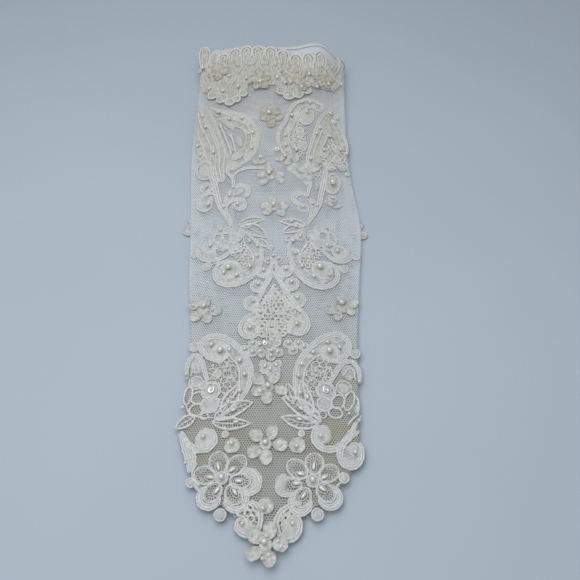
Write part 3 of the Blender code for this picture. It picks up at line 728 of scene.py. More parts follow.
    def petal(self, x, y, long, wide=None, turn=0.0, *, cup, look=ORGANZA, base=None, rim=0.34,
              crinkle=0.3):
        """A round cupped petal with soft dents and a stitched rim."""
        wide = long if wide is None else wide
        c, s = math.cos(math.radians(turn)), math.sin(math.radians(turn))
        rows = 12
        reach = np.linspace(0.06, 1.0, rows)
        around = np.linspace(0, 2 * math.pi, 41)[:-1]
        phase = self.random.uniform(0, 2 * math.pi, 3)
        out = 1 + 0.035 * np.sin(3 * around + phase[1]) + 0.02 * np.sin(7 * around + phase[0])
        reach_two = np.concatenate([reach, reach[::-1]])[:, None]
        lower = np.concatenate([np.zeros(rows), np.full(rows, PETAL_THICKNESS)])[:, None]
        u, v = long * reach_two * out * np.cos(around), wide * reach_two * out * np.sin(around)
        low = self.base if base is None else base
        dents = np.zeros_like(u)
        for _ in range(6):
            du, dv = self.random.uniform(-0.8, 0.8, 2) * (long, wide)
            size = self.random.uniform(0.7, 1.5)
            dents += self.random.choice((-1, 1)) * np.exp(-((u - du)**2 + (v - dv)**2) / size**2)
        folds = np.sin(5 * around + phase[0]) * reach_two**2 * 0.6
        rise = cup * reach_two**2 + crinkle * (dents + folds) + 0.25 * cup * (u / long)
        height = low + PETAL_LIFT + np.maximum(rise, -PETAL_DENT) + PETAL_DENT - lower
        rings = np.stack([x + u * c - v * s, y + u * s + v * c, height], axis=-1)
        self.add_rings(rings, np.stack([u, v], axis=-1), look)
        if rim:
            section = np.linspace(0, 2 * math.pi, 7)[:-1]
            edge = rings[rows - 1]
            away = np.stack([edge[:, 0] - x, edge[:, 1] - y], axis=1)
            away /= np.linalg.norm(away, axis=1, keepdims=True)
            thick = rim * self.random.uniform(0.8, 1.25, len(around))[:, None]
            tube = np.empty((len(around), len(section), 3))
            for axis in (0, 1):
                tube[..., axis] = edge[:, axis:axis + 1] + away[:, axis:axis + 1] * (
                    thick * np.cos(section)[None, :])
            tube[..., 2] = edge[:, 2:] + thick * 0.8 * np.sin(section)[None, :]
            along = np.broadcast_to((around * long)[:, None], tube.shape[:2])
            lane = np.broadcast_to(section / math.pi, tube.shape[:2])
            self.add_rings(tube, np.stack([along, lane], axis=-1), look, closed=True)

    def bead(self, x, y, radius, length=None, turn=0.0, height=None, look=PEARL):
        """A drilled pearl, or a long rice pearl, threaded along a line turned from +X."""
        half = radius * 0.985 if length is None else length / 2
        low = self.base + 0.75 if height is None else height
        polar = np.radians(np.linspace(-80, 80, 13))
        around = np.linspace(2 * math.pi, 0, 19)[:-1]
        along = half * np.sin(polar)[:, None] + 0 * around
        out = radius * np.cos(polar)[:, None]
        side, up = out * np.cos(around), out * np.sin(around)
        c, s = math.cos(math.radians(turn)), math.sin(math.radians(turn))
        rings = np.stack([x + along * c - side * s, y + along * s + side * c,
                          low + radius + up], axis=-1)
        uvs = np.stack([along, np.broadcast_to(around, along.shape)], axis=-1)
        self.add_rings(rings, uvs, look)

    def sequin(self, x, y, radius, tilt, height=1.2):
        """A cup sequin with a flat middle, a hole and faceted sides, and a seed bead on it."""
        steps = ((0.18, 0.0), (0.5, 0.02), (1.0, 0.34), (1.0, 0.27), (0.5, -0.06), (0.18, -0.08))
        around = np.linspace(0, 2 * math.pi, SEQUIN_FACETS + 1)[:-1]
        around += self.random.uniform(0, 1)
        rings = np.empty((len(steps), SEQUIN_FACETS, 3))
        for row, (reach, rise) in enumerate(steps):
            u, v = radius * reach * np.cos(around), radius * reach * np.sin(around)
            rings[row, :, 0], rings[row, :, 1] = x + u, y + v
            rings[row, :, 2] = self.base + height + radius * rise + u * tilt[0] + v * tilt[1]
        self.add_rings(rings, rings[..., :2], SEQUIN, closed=True)
        self.bead(x, y, 0.62, height=self.base + height + 0.1, look=SEQUIN)

    def build(self, name, slot, body="glove", replaced=(), surface=top_z):
        """Makes the object, lays it on the cloth and tells the frame about it."""
        points = np.vstack(self.points)
        points[:, 2] += surface(points[:, 0], points[:, 1])
        uvs = np.vstack(self.uvs)
        sizes = np.concatenate([np.full(len(f), f.shape[1]) for f in self.faces])
        corners = np.concatenate([f.reshape(-1) for f in self.faces])
        looks = np.concatenate(self.looks)
        mesh = bpy.data.meshes.new(name)
        mesh.vertices.add(len(points))
        mesh.vertices.foreach_set("co", to_frame(points).astype(np.float32).reshape(-1))
        mesh.loops.add(len(corners))
        mesh.loops.foreach_set("vertex_index", corners.astype(np.int32))
        mesh.polygons.add(len(sizes))
        starts = np.concatenate([[0], np.cumsum(sizes)[:-1]])
        mesh.polygons.foreach_set("loop_start", starts.astype(np.int32))
        used = np.unique(looks)
        mesh.polygons.foreach_set("material_index",
                                  np.searchsorted(used, looks).astype(np.int32))
        for number in used:
            mesh.materials.append(LOOKS[number])
        mesh.update(calc_edges=True)
        layer = mesh.uv_layers.new(name="UVMap")
        layer.data.foreach_set("uv", uvs[corners].astype(np.float32).reshape(-1))
        mesh.validate()
        mesh.shade_smooth()
        made = bpy.data.objects.new(name, mesh)
        bpy.context.scene.collection.objects.link(made)
        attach(made, body)
        if replaced:
            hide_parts(*replaced)
        return made


LOOKS = [
    tulle_look(), cord_look(), stitch_look(), thread_look(),
    cloth_look("fine_net", (0.56, 0.57, 0.545), (0.84, 0.85, 0.84)),
    organza_look("organza_white", (0.82, 0.82, 0.775), (0.58, 0.58, 0.54)),
    organza_look("organza_beige", (0.72, 0.69, 0.575), (0.48, 0.465, 0.365)),
    pearl_look(), sequin_look(),
    ribbon_look("ribbed_elastic", (0.74, 0.74, 0.71), 0.6, 0.9),
    ribbon_look("satin_ribbon", (0.80, 0.79, 0.75), 0.35, 0.45),
    cloth_look("ground_net", (0.60, 0.595, 0.55), (0.77, 0.765, 0.72)),
]


# ------------------------------------------------------------------ tulle


def tube_section(y, outward, top=TOP_STEPS, fold=FOLD_STEPS, under=UNDER_STEPS):
    """The tube's outline at y as rows (x, height, distance round from the top's middle)."""
    middle, radius = float(between(y, 1)), float(between(y, 3))
    half = float(between(y, 2)) - radius
    reach, quarter = radius + outward, under // 2

    def round_fold(side):
        """Points round the fold at -X (side -1) or +X (side 1)."""
        found = []
        for i in range(1, fold + 1):
            angle = math.pi * (side / 2 - i / (fold + 1))
            found.append((middle + side * half + reach * math.cos(angle),
                          UNDER_Z + radius + reach * math.sin(angle)))
        return found

    xs = [middle + half * math.sin(math.pi * (i / top - 0.5)) for i in range(top + 1)]
    points = np.array(
        [(middle - half * i / quarter, UNDER_Z - outward) for i in range(quarter + 1)]
        + round_fold(-1) + [(x, float(top_z(x, y)) + outward) for x in xs] + round_fold(1)
        + [(middle + half * (1 - i / quarter), UNDER_Z - outward) for i in range(quarter + 1)])
    round_it = np.concatenate([[0], np.cumsum(np.linalg.norm(np.diff(points, axis=0), axis=1))])
    centre = quarter + 1 + fold + top // 2
    return np.column_stack([points, round_it - round_it[centre]])


def section_length(y):
    """The way round the tube at y."""
    section = tube_section(y, 0.0)
    return section[-1, 2] - section[0, 2]


def no_surface(x, y):
    """For pieces whose heights are already heights in the frame."""
    return 0.0 * x + 0.0 * y


def sew_tulle():
    """The tube of net, sewn under the arm, whose upper layer runs on into the point."""
    piece = Piece()
    ys = np.concatenate([np.arange(HAND_Y, ARM_Y, 2.5), [ARM_Y]])
    rings, uvs = [], []
    for y in ys:
        section = tube_section(y, 0.0)
        rings.append(np.column_stack([section[:, 0], np.full(len(section), y), section[:, 1]]))
        uvs.append(np.column_stack([section[:, 2], np.full(len(section), y)]))
    rings, uvs = np.array(rings), np.array(uvs)
    piece.add_rings(rings[::-1], uvs[::-1], TULLE, capped=False, open_section=True)
    first_top = UNDER_STEPS // 2 + 1 + FOLD_STEPS
    upper = slice(first_top, first_top + TOP_STEPS + 1)
    rows, row_uvs = [rings[0, upper]], [uvs[0, upper]]
    for y in np.arange(HAND_Y - 2.0, TIP_Y - 0.01, -2.0):
        half = float(np.interp(y, POINT[:, 0], POINT[:, 1]))
        turn = math.pi * (np.arange(TOP_STEPS + 1) / TOP_STEPS - 0.5)
        x = float(between(y, 1)) + half * np.sin(turn)
        z = top_z(x, y)
        gone = np.concatenate([[0], np.cumsum(np.hypot(np.diff(x), np.diff(z)))])
        along = np.full(TOP_STEPS + 1, y)
        rows.append(np.column_stack([x, along, z]))
        row_uvs.append(np.column_stack([gone - gone[TOP_STEPS // 2], along]))
    piece.add_rings(np.array(rows), np.array(row_uvs), TULLE, capped=False, open_section=True)
    made = piece.build("tulle", "tulle", replaced=("tulle_sleeve",), surface=no_surface)
    lengths = [section_length(y) for y in ys]


# ------------------------------------------------------------------- lace


class Motif(Piece):
    """A lace motif with the pearls and sequins sewn on it, which are pieces of their own."""

    def __init__(self, base, seed):
        super().__init__(base, seed)
        self.pearls, self.sequins = Piece(base, seed + 1), Piece(base, seed + 2)

    def pearl(self, x, y, radius=1.25, height=None):
        """A round pearl."""
        self.pearls.bead(x, y, radius, turn=self.random.uniform(0, 180), height=height)

    def rice(self, x, y, turn, height=None):
        """A long rice pearl."""
        self.pearls.bead(x, y, 0.85, length=3.4, turn=turn, height=height)

    def spangle(self, x, y, radius):
        """A sequin, a little tilted."""
        self.sequins.sequin(x, y, radius, self.random.uniform(-0.18, 0.18, 2))

    def disc(self, x, y, radius, pearl=False):
        """A small round of satin stitch inside a ring of cord."""
        look = STITCH if radius < 3 else CLOTH
        self.patch(x, y, radius * 0.85, height=0.35, dome=0.35, look=look, pitch=0.8)
        self.ring(x, y, radius, 1.15)
        if radius > 3:
            self.ring(x, y, radius * 0.52, 0.9)
        if pearl:
            self.pearl(x, y, 1.1)

    def vein(self, points, width, lanes=1):
        """A cord along points (x, y), thinner at the first of them."""
        self.cord([(x, y, 1.0 if k else 0.6) for k, (x, y) in enumerate(points)], width,
                  lanes=lanes)

    def nested(self, points, x, y, scales, width):
        """Cords that repeat a curve at smaller sizes about a middle."""
        for scale in scales:
            self.vein([(x + (q[0] - x) * scale, y + (q[1] - y) * scale) for q in points], width)

    def bars(self, points, x, y, near, far, count, width=0.85):
        """Short bars across the band between two sizes of a curve about a middle."""
        line = smooth(points)[:, :2] - (x, y)
        for reach in line[np.linspace(0, len(line) - 1, count).astype(int)]:
            self.thread([tuple((x, y) + reach * near), tuple((x, y) + reach * far)], width)

    def eye(self, x, y, radius, width, inner):
        """A ring of two cords round a stitched middle."""
        self.ring(x, y, radius, width, lanes=2)
        self.patch(x, y, inner)

    def well(self, x, y, inner, radius):
        """A ring of two cords round a ground of close net."""
        self.patch(x, y, inner, look=GROUND)
        self.ring(x, y, radius, 2.0, lanes=2)

    def blossom(self, x, y, radius, turn, count=5, pearl=True):
        """A little flat flower of stitched petals in the openwork."""
        for i in range(count):
            angle = math.radians(turn + 360 * i / count)
            away = radius * 0.58
            self.fill(oval(x + away * math.cos(angle), y + away * math.sin(angle),
                           radius * 0.44, radius * 0.36, math.degrees(angle), 8),
                      0.35, 0.4, look=STITCH, pitch=0.7)
        if pearl:
            self.pearl(x, y, 0.9, height=self.base + 0.4)

    def sew(self, name):
        """Makes the motif's lace, and its beads and sequins where it has any."""
        self.build(name + "_lace", "corded_lace", replaced=(name,))
        for piece, ending in ((self.pearls, "_beads"), (self.sequins, "_sequins")):
            if piece.count:
                piece.build(name + ending, "pearl")


def six_petals(p, x, y, petals):
    """A large flower: ringed petals with threads fanned round long pearls, and outer bands."""
    for cx, cy, long, wide, turn, bands, rice in petals:
        c, s = math.cos(math.radians(turn)), math.sin(math.radians(turn))
        bead_x, bead_y, bead_turn = rice

        def spot(angle, scale, away=0.0):
            """The place at an angle on a smaller size of the petal, or on a band round it."""
            u, v = math.cos(math.radians(angle)), math.sin(math.radians(angle))
            size = math.hypot(u / long, v / wide) or 1.0
            out = away * max(math.cos(math.radians(angle * 0.92)), 0.0) ** 0.7
            u, v = (long * scale * u + out * u / long / size,
                    wide * scale * v + out * v / wide / size)
            return cx + u * c - v * s, cy + u * s + v * c

        for band in range(bands, 0, -1):
            path = [spot(angle, 1.0, 1.75 * band) + (0.55 + 0.45 * math.cos(
                math.radians(angle * 0.9)),) for angle in range(-96, 97, 16)]
            p.cord(path, 2.3, 0.75, lanes=2)
        p.ring(cx, cy, long, 1.25, wide, turn, height=1.0)
        p.ring(cx, cy, long * 0.83, 0.6, wide * 0.83, turn, height=0.6)
        for angle in range(-84, 85, 24):
            p.thread([spot(angle, 0.42), spot(angle, 0.85)], 0.5)
        p.ring(bead_x, bead_y, 2.9, 0.75, 1.55, bead_turn, height=0.8)
        p.pearls.bead(bead_x, bead_y, 0.95, length=4.4, turn=bead_turn, height=p.base + 0.5)
    p.patch(x, y, 3.4, height=0.6, dome=0.5)
    p.ring(x, y, 3.2, 1.1, height=1.2)
    p.pearl(x, y, 1.55, height=p.base + 1.1)


def six_petal_flower_left(p):
    six_petals(p, -26.8, -146.4, (
        (-17.0, -148.0, 5.4, 3.9, -4, 3, (-17.6, -148.2, 0)),
        (-20.0, -154.9, 5.4, 4.4, -62, 2, (-19.6, -153.8, -52)),
        (-31.0, -153.8, 5.4, 4.3, 233, 2, (-28.8, -153.0, 52)),
        (-28.8, -138.4, 5.9, 5.0, 102, 0, (-28.9, -140.6, 105)),
        (-19.4, -139.8, 6.2, 4.5, 46, 0, (-21.4, -142.4, 30)),
        (-35.8, -144.8, 5.6, 4.7, 172, 0, (-32.6, -146.2, 174))))
    p.disc(-26.5, -165.0, 2.9)
    p.disc(-42.8, -148.4, 2.3)
    p.cord([(-38.0, -150.0), (-41.4, -147.4), (-42.6, -143.0), (-42.0, -140.0)], 1.4)
    p.fill([(-42.0, -146.0), (-38.0, -150.6), (-37.0, -154.0), (-41.0, -151.0)], 0.3)
    p.pearl(-46.6, -138.2, 0.9)


def six_petal_flower_right(p):
    six_petals(p, 20.6, -147.6, (
        (9.2, -150.2, 5.6, 3.9, 190, 1, (12.4, -149.2, 3)),
        (15.6, -156.0, 5.2, 4.1, 245, 2, (16.0, -155.2, 52)),
        (27.4, -153.4, 5.4, 4.3, -46, 2, (25.6, -151.8, -32)),
        (21.6, -138.6, 5.5, 4.9, 88, 0, (21.2, -140.2, 86)),
        (12.6, -141.6, 6.1, 4.6, 140, 0, (14.6, -144.3, -5)),
        (29.2, -143.4, 5.5, 4.4, 28, 0, (26.8, -145.8, 30))))
    p.disc(23.0, -164.3, 2.9)
    p.disc(37.0, -145.3, 2.5)
    p.fill([(1.6, -146.0), (6.0, -143.6), (8.0, -147.0), (4.6, -154.6), (1.4, -151.6)], 0.4, 0.6,
           look=STITCH)
    p.cord([(33.0, -149.6), (35.6, -147.4), (36.4, -142.0)], 1.3)


def point_scroll_left(p):
    p.net(oval(-10.6, -165.6, 5.6, 3.4, 100), 2.5, 0.9)
    p.cord([(-13.5, -159.6, 0.6), (-9.6, -158.8, 0.9), (-6.6, -162.0, 1.1), (-5.8, -167.5, 1.2),
            (-7.0, -172.2, 1.1), (-10.6, -175.2, 1.0), (-14.6, -174.6, 1.0), (-17.8, -172.0, 0.9)]
           + spiral(-15.0, -169.6, 3.1, 200, 1.1, 0.8, sense=-1), 2.8, lanes=2)
    p.patch(-12.0, -171.6, 5.2, 3.2, -15)
    p.cord([(-16.0, -161.5, 0.6), (-17.6, -165.0, 1.0), (-14.6, -166.0, 0.8),
            (-12.4, -169.0, 0.8), (-12.6, -172.6, 0.6)], 1.9)
    p.pearl(-15.0, -169.5, 1.0)


def point_scroll_right(p):
    p.net([(4.4, -163.6), (9.0, -163.0), (8.0, -167.6), (4.6, -170.0)], 2.2, 0.8)
    p.patch(9.6, -170.8, 5.6, 4.6, 70)
    p.cord([(15.0, -158.6, 0.6), (9.5, -159.8, 1.0), (4.6, -163.0, 1.2), (2.2, -168.0, 1.2),
            (3.4, -173.6, 1.2), (8.0, -177.0, 1.1), (12.6, -175.0, 1.0), (14.4, -170.4, 1.0),
            (13.4, -166.6, 0.9), (9.8, -165.6, 0.8), (7.6, -168.0, 0.7), (8.2, -171.4, 0.7),
            (10.8, -171.8, 0.6)], 2.9, lanes=2)
    p.stitch([(14.0, -161.0, 0.6), (9.0, -163.0, 1.3), (5.6, -166.2, 1.0), (5.0, -170.6, 0.7)], 1.5)
    p.pearl(10.4, -169.0, 1.05)


def round_petal(p, x, y, radius, bead_x, bead_y):
    p.petal(x, y, radius, cup=0.3, look=ORGANZA)
    p.patch(x, y, radius * 0.8, height=0.2, dome=0.25)
    p.pearl(bead_x, bead_y, 1.25, height=p.base + 1.0)


def round_petal_centre(p):
    round_petal(p, -3.5, -160.5, 3.9, -4.9, -162.0)


def round_petal_left(p):
    round_petal(p, -22.2, -129.2, 4.0, -22.6, -128.1)


def round_petal_right(p):
    round_petal(p, 12.6, -128.7, 4.2, 12.1, -129.6)
    p.disc(14.6, -122.3, 1.5)


def side_scroll_left(p):
    p.patch(-37.0, -125.6, 5.8)
    p.cord([(-50.4, -119.6, 0.4), (-48.6, -123.6, 0.7), (-45.4, -127.8, 0.95),
            (-40.8, -130.6, 1.05), (-35.4, -130.4, 1.1), (-32.2, -126.8, 1.1),
            (-32.8, -122.4, 1.0), (-36.4, -120.2, 0.9), (-40.0, -121.6, 0.75),
            (-41.2, -124.6, 0.6)], 3.9, lanes=3)
    p.cord([(-41.0, -127.6, 0.6), (-37.6, -128.2, 0.9), (-35.2, -125.8, 0.9),
            (-36.4, -123.0, 0.7)], 1.3)
    p.cord([(-51.0, -120.4, 0.4), (-48.4, -125.4, 0.8), (-45.8, -131.4, 1.0),
            (-43.6, -137.0, 1.0), (-43.4, -143.0, 0.6)], 6.4, lanes=5)
    p.thread([(-46.0, -126.0), (-44.0, -130.0), (-41.0, -133.0)], 0.8)
    p.disc(-26.4, -122.6, 1.6)
    p.cord([(-26.4, -121.0), (-26.8, -117.6)], 1.2)
    p.pearl(-38.1, -124.0, 1.15, height=p.base + 1.2)


def side_scroll_right(p):
    p.patch(26.0, -122.8, 5.0)
    p.patch(42.0, -132.4, 6.2, 4.8, 75, 0.25, 0.0, look=CLOTH)
    p.cord([(44.6, -113.6, 0.5), (42.4, -119.0, 0.9), (38.4, -125.0, 1.0), (33.4, -129.4, 1.0),
            (27.6, -130.4, 1.05), (22.8, -127.4, 1.05), (21.6, -122.4, 1.0),
            (24.0, -118.8, 0.9), (28.0, -118.6, 0.8), (29.6, -122.0, 0.6)], 4.2, lanes=3)
    p.cord([(22.6, -125.4, 0.6), (25.6, -127.2, 0.9), (28.4, -125.0, 0.9),
            (27.6, -121.8, 0.7)], 1.3)
    p.cord([(46.4, -118.6, 0.4), (41.2, -122.6, 0.8), (36.8, -127.6, 1.0), (35.2, -133.4, 1.0),
            (37.6, -138.2, 1.0), (42.4, -138.8, 1.0), (46.0, -135.2, 0.95),
            (46.8, -129.8, 0.9), (45.4, -125.4, 0.6)], 4.2, lanes=3)
    p.patch(43.2, -129.4, 3.6, 2.8, 80, 0.5, 0.5)
    p.ring(43.2, -129.4, 3.8, 1.1, 3.0, 80, height=0.9)
    p.disc(14.8, -122.0, 1.5)
    p.pearl(25.0, -123.6, 1.15, height=p.base + 1.2)
    p.pearl(43.4, -131.5, 1.25, height=p.base + 1.3)


def hand_paisley_left(p):
    outer = [(-31.0, -113.5, 0.5), (-22.5, -106.4, 0.8), (-16.8, -99.0, 0.9), (-14.0, -91.0, 0.95),
             (-14.2, -83.0, 1.0), (-17.0, -76.5, 1.0), (-21.5, -70.4, 1.1), (-27.0, -65.3, 1.15),
             (-33.0, -61.9, 1.15), (-39.0, -61.2, 1.15), (-43.2, -63.4, 1.1),
             (-44.4, -67.4, 1.05), (-41.8, -71.8, 1.0), (-37.8, -75.4, 1.0), (-33.4, -77.2, 0.95)]
    p.cord(outer + spiral(-31.8, -72.2, 4.7, -75, 1.0, 0.8, 0.6), 3.7, lanes=3)
    p.cord([(-26.0, -105.0, 0.6), (-20.8, -96.5, 1.0), (-20.2, -88.0, 1.1), (-21.8, -81.5, 1.1),
            (-26.0, -76.0, 1.0), (-27.6, -73.6, 0.8)], 1.5)
    p.fill([(-15.8, -99.0), (-15.2, -84.0), (-19.4, -74.4), (-27.0, -66.8), (-34.0, -63.6),
            (-41.6, -64.6), (-42.6, -68.0), (-37.0, -72.6), (-31.0, -68.0), (-27.0, -73.5),
            (-21.6, -81.0), (-20.2, -90.0), (-20.8, -98.0)], 0.2)
    p.fill([(-43.0, -66.4), (-40.4, -63.2), (-33.0, -63.4), (-26.0, -68.6), (-21.4, -75.4),
            (-26.4, -75.4), (-31.0, -78.0), (-37.4, -75.4), (-41.4, -71.0)], 0.25)
    p.well(-32.4, -72.4, 4.6, 5.0)
    p.net([(-22.0, -81.0), (-27.0, -76.5), (-33.0, -78.0), (-37.0, -82.0), (-37.5, -89.0),
           (-32.5, -97.0), (-30.5, -105.0), (-25.0, -103.0), (-21.5, -96.0), (-20.5, -88.0)],
          3.1, 0.52)
    p.blossom(-27.5, -82.5, 3.6, 20)
    p.blossom(-25.4, -90.0, 3.2, 60)
    p.disc(-33.0, -86.0, 2.2)
    p.leaf((-29.0, -110.0), (-20.0, -93.0), 6.4, bend=-0.6)
    p.leaf((-33.0, -113.6), (-12.0, -104.4), 7.2, bend=0.8)
    p.leaf((-34.0, -115.2), (-12.6, -116.6), 5.6, bend=-0.8)
    for x, y, turn in ((-25.6, -104.0, 80), (-22.6, -109.2, 26), (-20.8, -116.2, 8)):
        p.rice(x, y, turn)
    for x, y in ((-38.0, -67.2), (-27.0, -71.8), (-20.6, -79.2), (-17.4, -88.0), (-19.6, -98.0)):
        p.pearl(x, y)


def hand_paisley_right(p):
    outer = [(25.0, -114.0, 0.5), (17.0, -107.0, 0.8), (12.4, -99.0, 0.9), (11.2, -91.0, 0.95),
             (12.0, -84.0, 1.0), (14.6, -77.0, 1.0), (18.6, -71.0, 1.05), (24.2, -65.0, 1.15),
             (30.2, -60.8, 1.2), (36.0, -59.0, 1.2), (41.0, -61.2, 1.1), (42.6, -65.8, 1.05),
             (41.4, -71.0, 1.0), (38.6, -74.6, 1.0), (34.6, -76.8, 0.95)]
    p.cord(outer + spiral(31.2, -71.8, 4.8, -80, 1.0, 0.8, 0.6, sense=-1), 3.7, lanes=3)
    p.cord([(19.4, -104.0, 0.6), (16.2, -97.0, 1.0), (15.8, -89.0, 1.1), (18.0, -81.5, 1.1),
            (22.4, -76.0, 1.0), (26.6, -73.4, 0.8)], 1.5)
    p.fill([(13.2, -99.0), (12.6, -89.0), (15.4, -78.4), (21.0, -70.6), (27.0, -64.6),
            (34.0, -61.2), (39.6, -62.4), (41.0, -67.0), (38.2, -72.6), (33.8, -66.4),
            (27.4, -70.0), (20.0, -77.0), (16.0, -86.0), (15.6, -97.0)], 0.2)
    p.fill([(41.4, -64.4), (37.0, -60.6), (30.0, -62.6), (23.4, -68.4), (17.6, -76.4),
            (22.4, -76.6), (29.0, -78.0), (35.6, -76.0), (40.0, -71.4)], 0.25)
    p.well(31.4, -72.0, 4.6, 5.0)
    p.net([(17.6, -82.0), (22.6, -77.0), (27.0, -76.6), (31.4, -79.4), (32.6, -86.0),
           (29.6, -92.0), (23.0, -96.0), (24.0, -104.0), (18.6, -103.0), (16.0, -94.0)],
          3.1, 0.52)
    p.blossom(22.6, -85.0, 3.6, 10)
    p.blossom(20.4, -91.0, 2.8, 50)
    p.ring(30.0, -85.6, 4.4, 1.2, 2.0, 80)
    p.leaf((10.6, -104.0), (6.8, -93.0), 4.6, bend=0.4)
    p.leaf((20.4, -112.0), (15.0, -90.4), 6.2, bend=1.0)
    p.leaf((25.4, -115.0), (3.8, -101.2), 7.4, bend=-0.8)
    p.leaf((24.0, -116.0), (3.6, -112.6), 6.2, bend=1.4)
    for x, y, turn in ((18.0, -101.0, 85), (14.4, -108.2, 150), (13.6, -114.4, 164)):
        p.rice(x, y, turn)
    for x, y in ((30.0, -65.6), (37.0, -68.0), (21.4, -73.2), (14.8, -81.2), (13.0, -88.6),
                 (13.8, -99.0)):
        p.pearl(x, y)


def hand_scroll_left(p):
    p.cord([(-50.4, -88.0, 0.6), (-51.0, -80.0, 0.9), (-48.8, -73.4, 1.0), (-45.2, -73.4, 1.1),
            (-42.2, -78.4, 1.1), (-40.2, -85.0, 1.0), (-38.4, -90.0, 0.8)], 3.2, lanes=3)
    p.cord([(-48.0, -86.0, 0.6), (-47.6, -80.0, 0.9), (-45.6, -79.0, 1.0), (-43.6, -84.0, 0.8)],
           1.6)
    p.fill([(-49.4, -80.0), (-47.4, -75.0), (-44.0, -76.0), (-42.4, -82.0), (-46.0, -85.0)], 0.2,
           look=CLOTH)
    p.eye(-36.0, -96.2, 4.9, 2.2, 3.8)
    p.ring(-36.0, -104.8, 4.7, 1.7, lanes=2)
    p.patch(-36.0, -104.8, 4.2, dome=0.3)
    for x, y, long, wide, turn in ((-43.4, -107.6, 4.0, 3.6, 40), (-42.8, -100.4, 4.0, 3.8, 0),
                                   (-48.8, -98.6, 5.6, 2.2, 82)):
        p.ring(x, y, long, 1.5, wide, turn)
    p.disc(-45.0, -90.8, 4.0)
    p.disc(-40.6, -92.6, 2.4)
    for x, y in ((-31.6, -108.0), (-38.6, -111.6)):
        p.ring(x, y, 2.0, 1.1)
    p.cord([(-49.6, -103.6, 0.7), (-47.2, -109.0, 1.0), (-40.0, -112.4, 1.0),
            (-33.4, -112.6, 0.7)], 1.5)
    p.leaf((-44.0, -111.0), (-54.0, -118.4), 5.0)
    p.disc(-48.2, -67.0, 2.9)
    p.pearl(-51.0, -85.6, 1.0)
    p.pearl(-51.0, -106.4, 1.2)
    p.spangle(-36.0, -96.2, 2.2)


def hand_scroll_right(p):
    p.cord([(47.8, -90.0, 0.6), (47.6, -82.0, 0.9), (44.6, -76.6, 1.0), (40.0, -76.6, 1.1),
            (36.0, -81.0, 1.1), (33.0, -86.6, 1.0), (30.6, -91.0, 0.8)], 3.2, lanes=3)
    p.cord([(45.4, -88.0, 0.6), (44.8, -82.0, 0.9), (42.0, -80.8, 1.0), (38.0, -86.0, 0.8)], 1.6)
    p.fill([(46.2, -84.0), (44.2, -79.0), (40.0, -78.8), (37.2, -84.0), (42.0, -88.0)], 0.2,
           look=CLOTH)
    p.eye(28.4, -96.2, 4.9, 2.2, 3.8)
    p.ring(27.4, -104.4, 4.0, 1.6)
    p.patch(27.4, -104.4, 3.4, dome=0.3)
    for x, y, long, wide, turn in ((35.2, -102.2, 4.4, 3.4, 60), (33.4, -109.0, 3.8, 3.2, 0),
                                   (41.4, -101.0, 6.0, 2.6, 72)):
        p.ring(x, y, long, 1.5, wide, turn)
    p.disc(38.6, -93.2, 4.2)
    for x, y in ((22.4, -107.6), (26.4, -110.6)):
        p.ring(x, y, 2.0, 1.1)
    for spread in range(4):
        p.cord([(44.0 + 0.9 * spread, -96.0 - spread, 0.7), (46.6, -101.0 - 1.6 * spread, 1.0),
                (43.8 + 0.6 * spread, -106.0 - spread, 0.8)], 1.1)
    p.cord([(40.0, -116.0, 0.7), (42.4, -112.4, 1.0), (46.6, -108.6, 0.8)], 1.6)
    p.cord([(41.6, -118.6, 0.7), (45.0, -114.6, 1.0), (47.6, -109.6, 0.8)], 1.4)
    p.disc(45.8, -70.4, 2.9)
    for x, y in ((47.4, -89.2), (41.0, -109.2), (46.2, -113.0)):
        p.pearl(x, y, 1.0)
    p.spangle(28.4, -96.2, 2.1)


def bead_drop(p):
    p.patch(-3.0, -82.8, 3.4, dome=0.3, pitch=0.8)
    for x, y in ((-7.0, -81.0), (-6.4, -84.8), (-3.0, -87.0), (0.6, -84.6), (1.2, -80.8)):
        p.disc(x, y, 2.0)
    for x, y, turn in ((-5.9, -82.4, 70), (-3.0, -84.0, 95), (0.0, -81.6, 125)):
        p.rice(x, y, turn, height=p.base + 0.9)


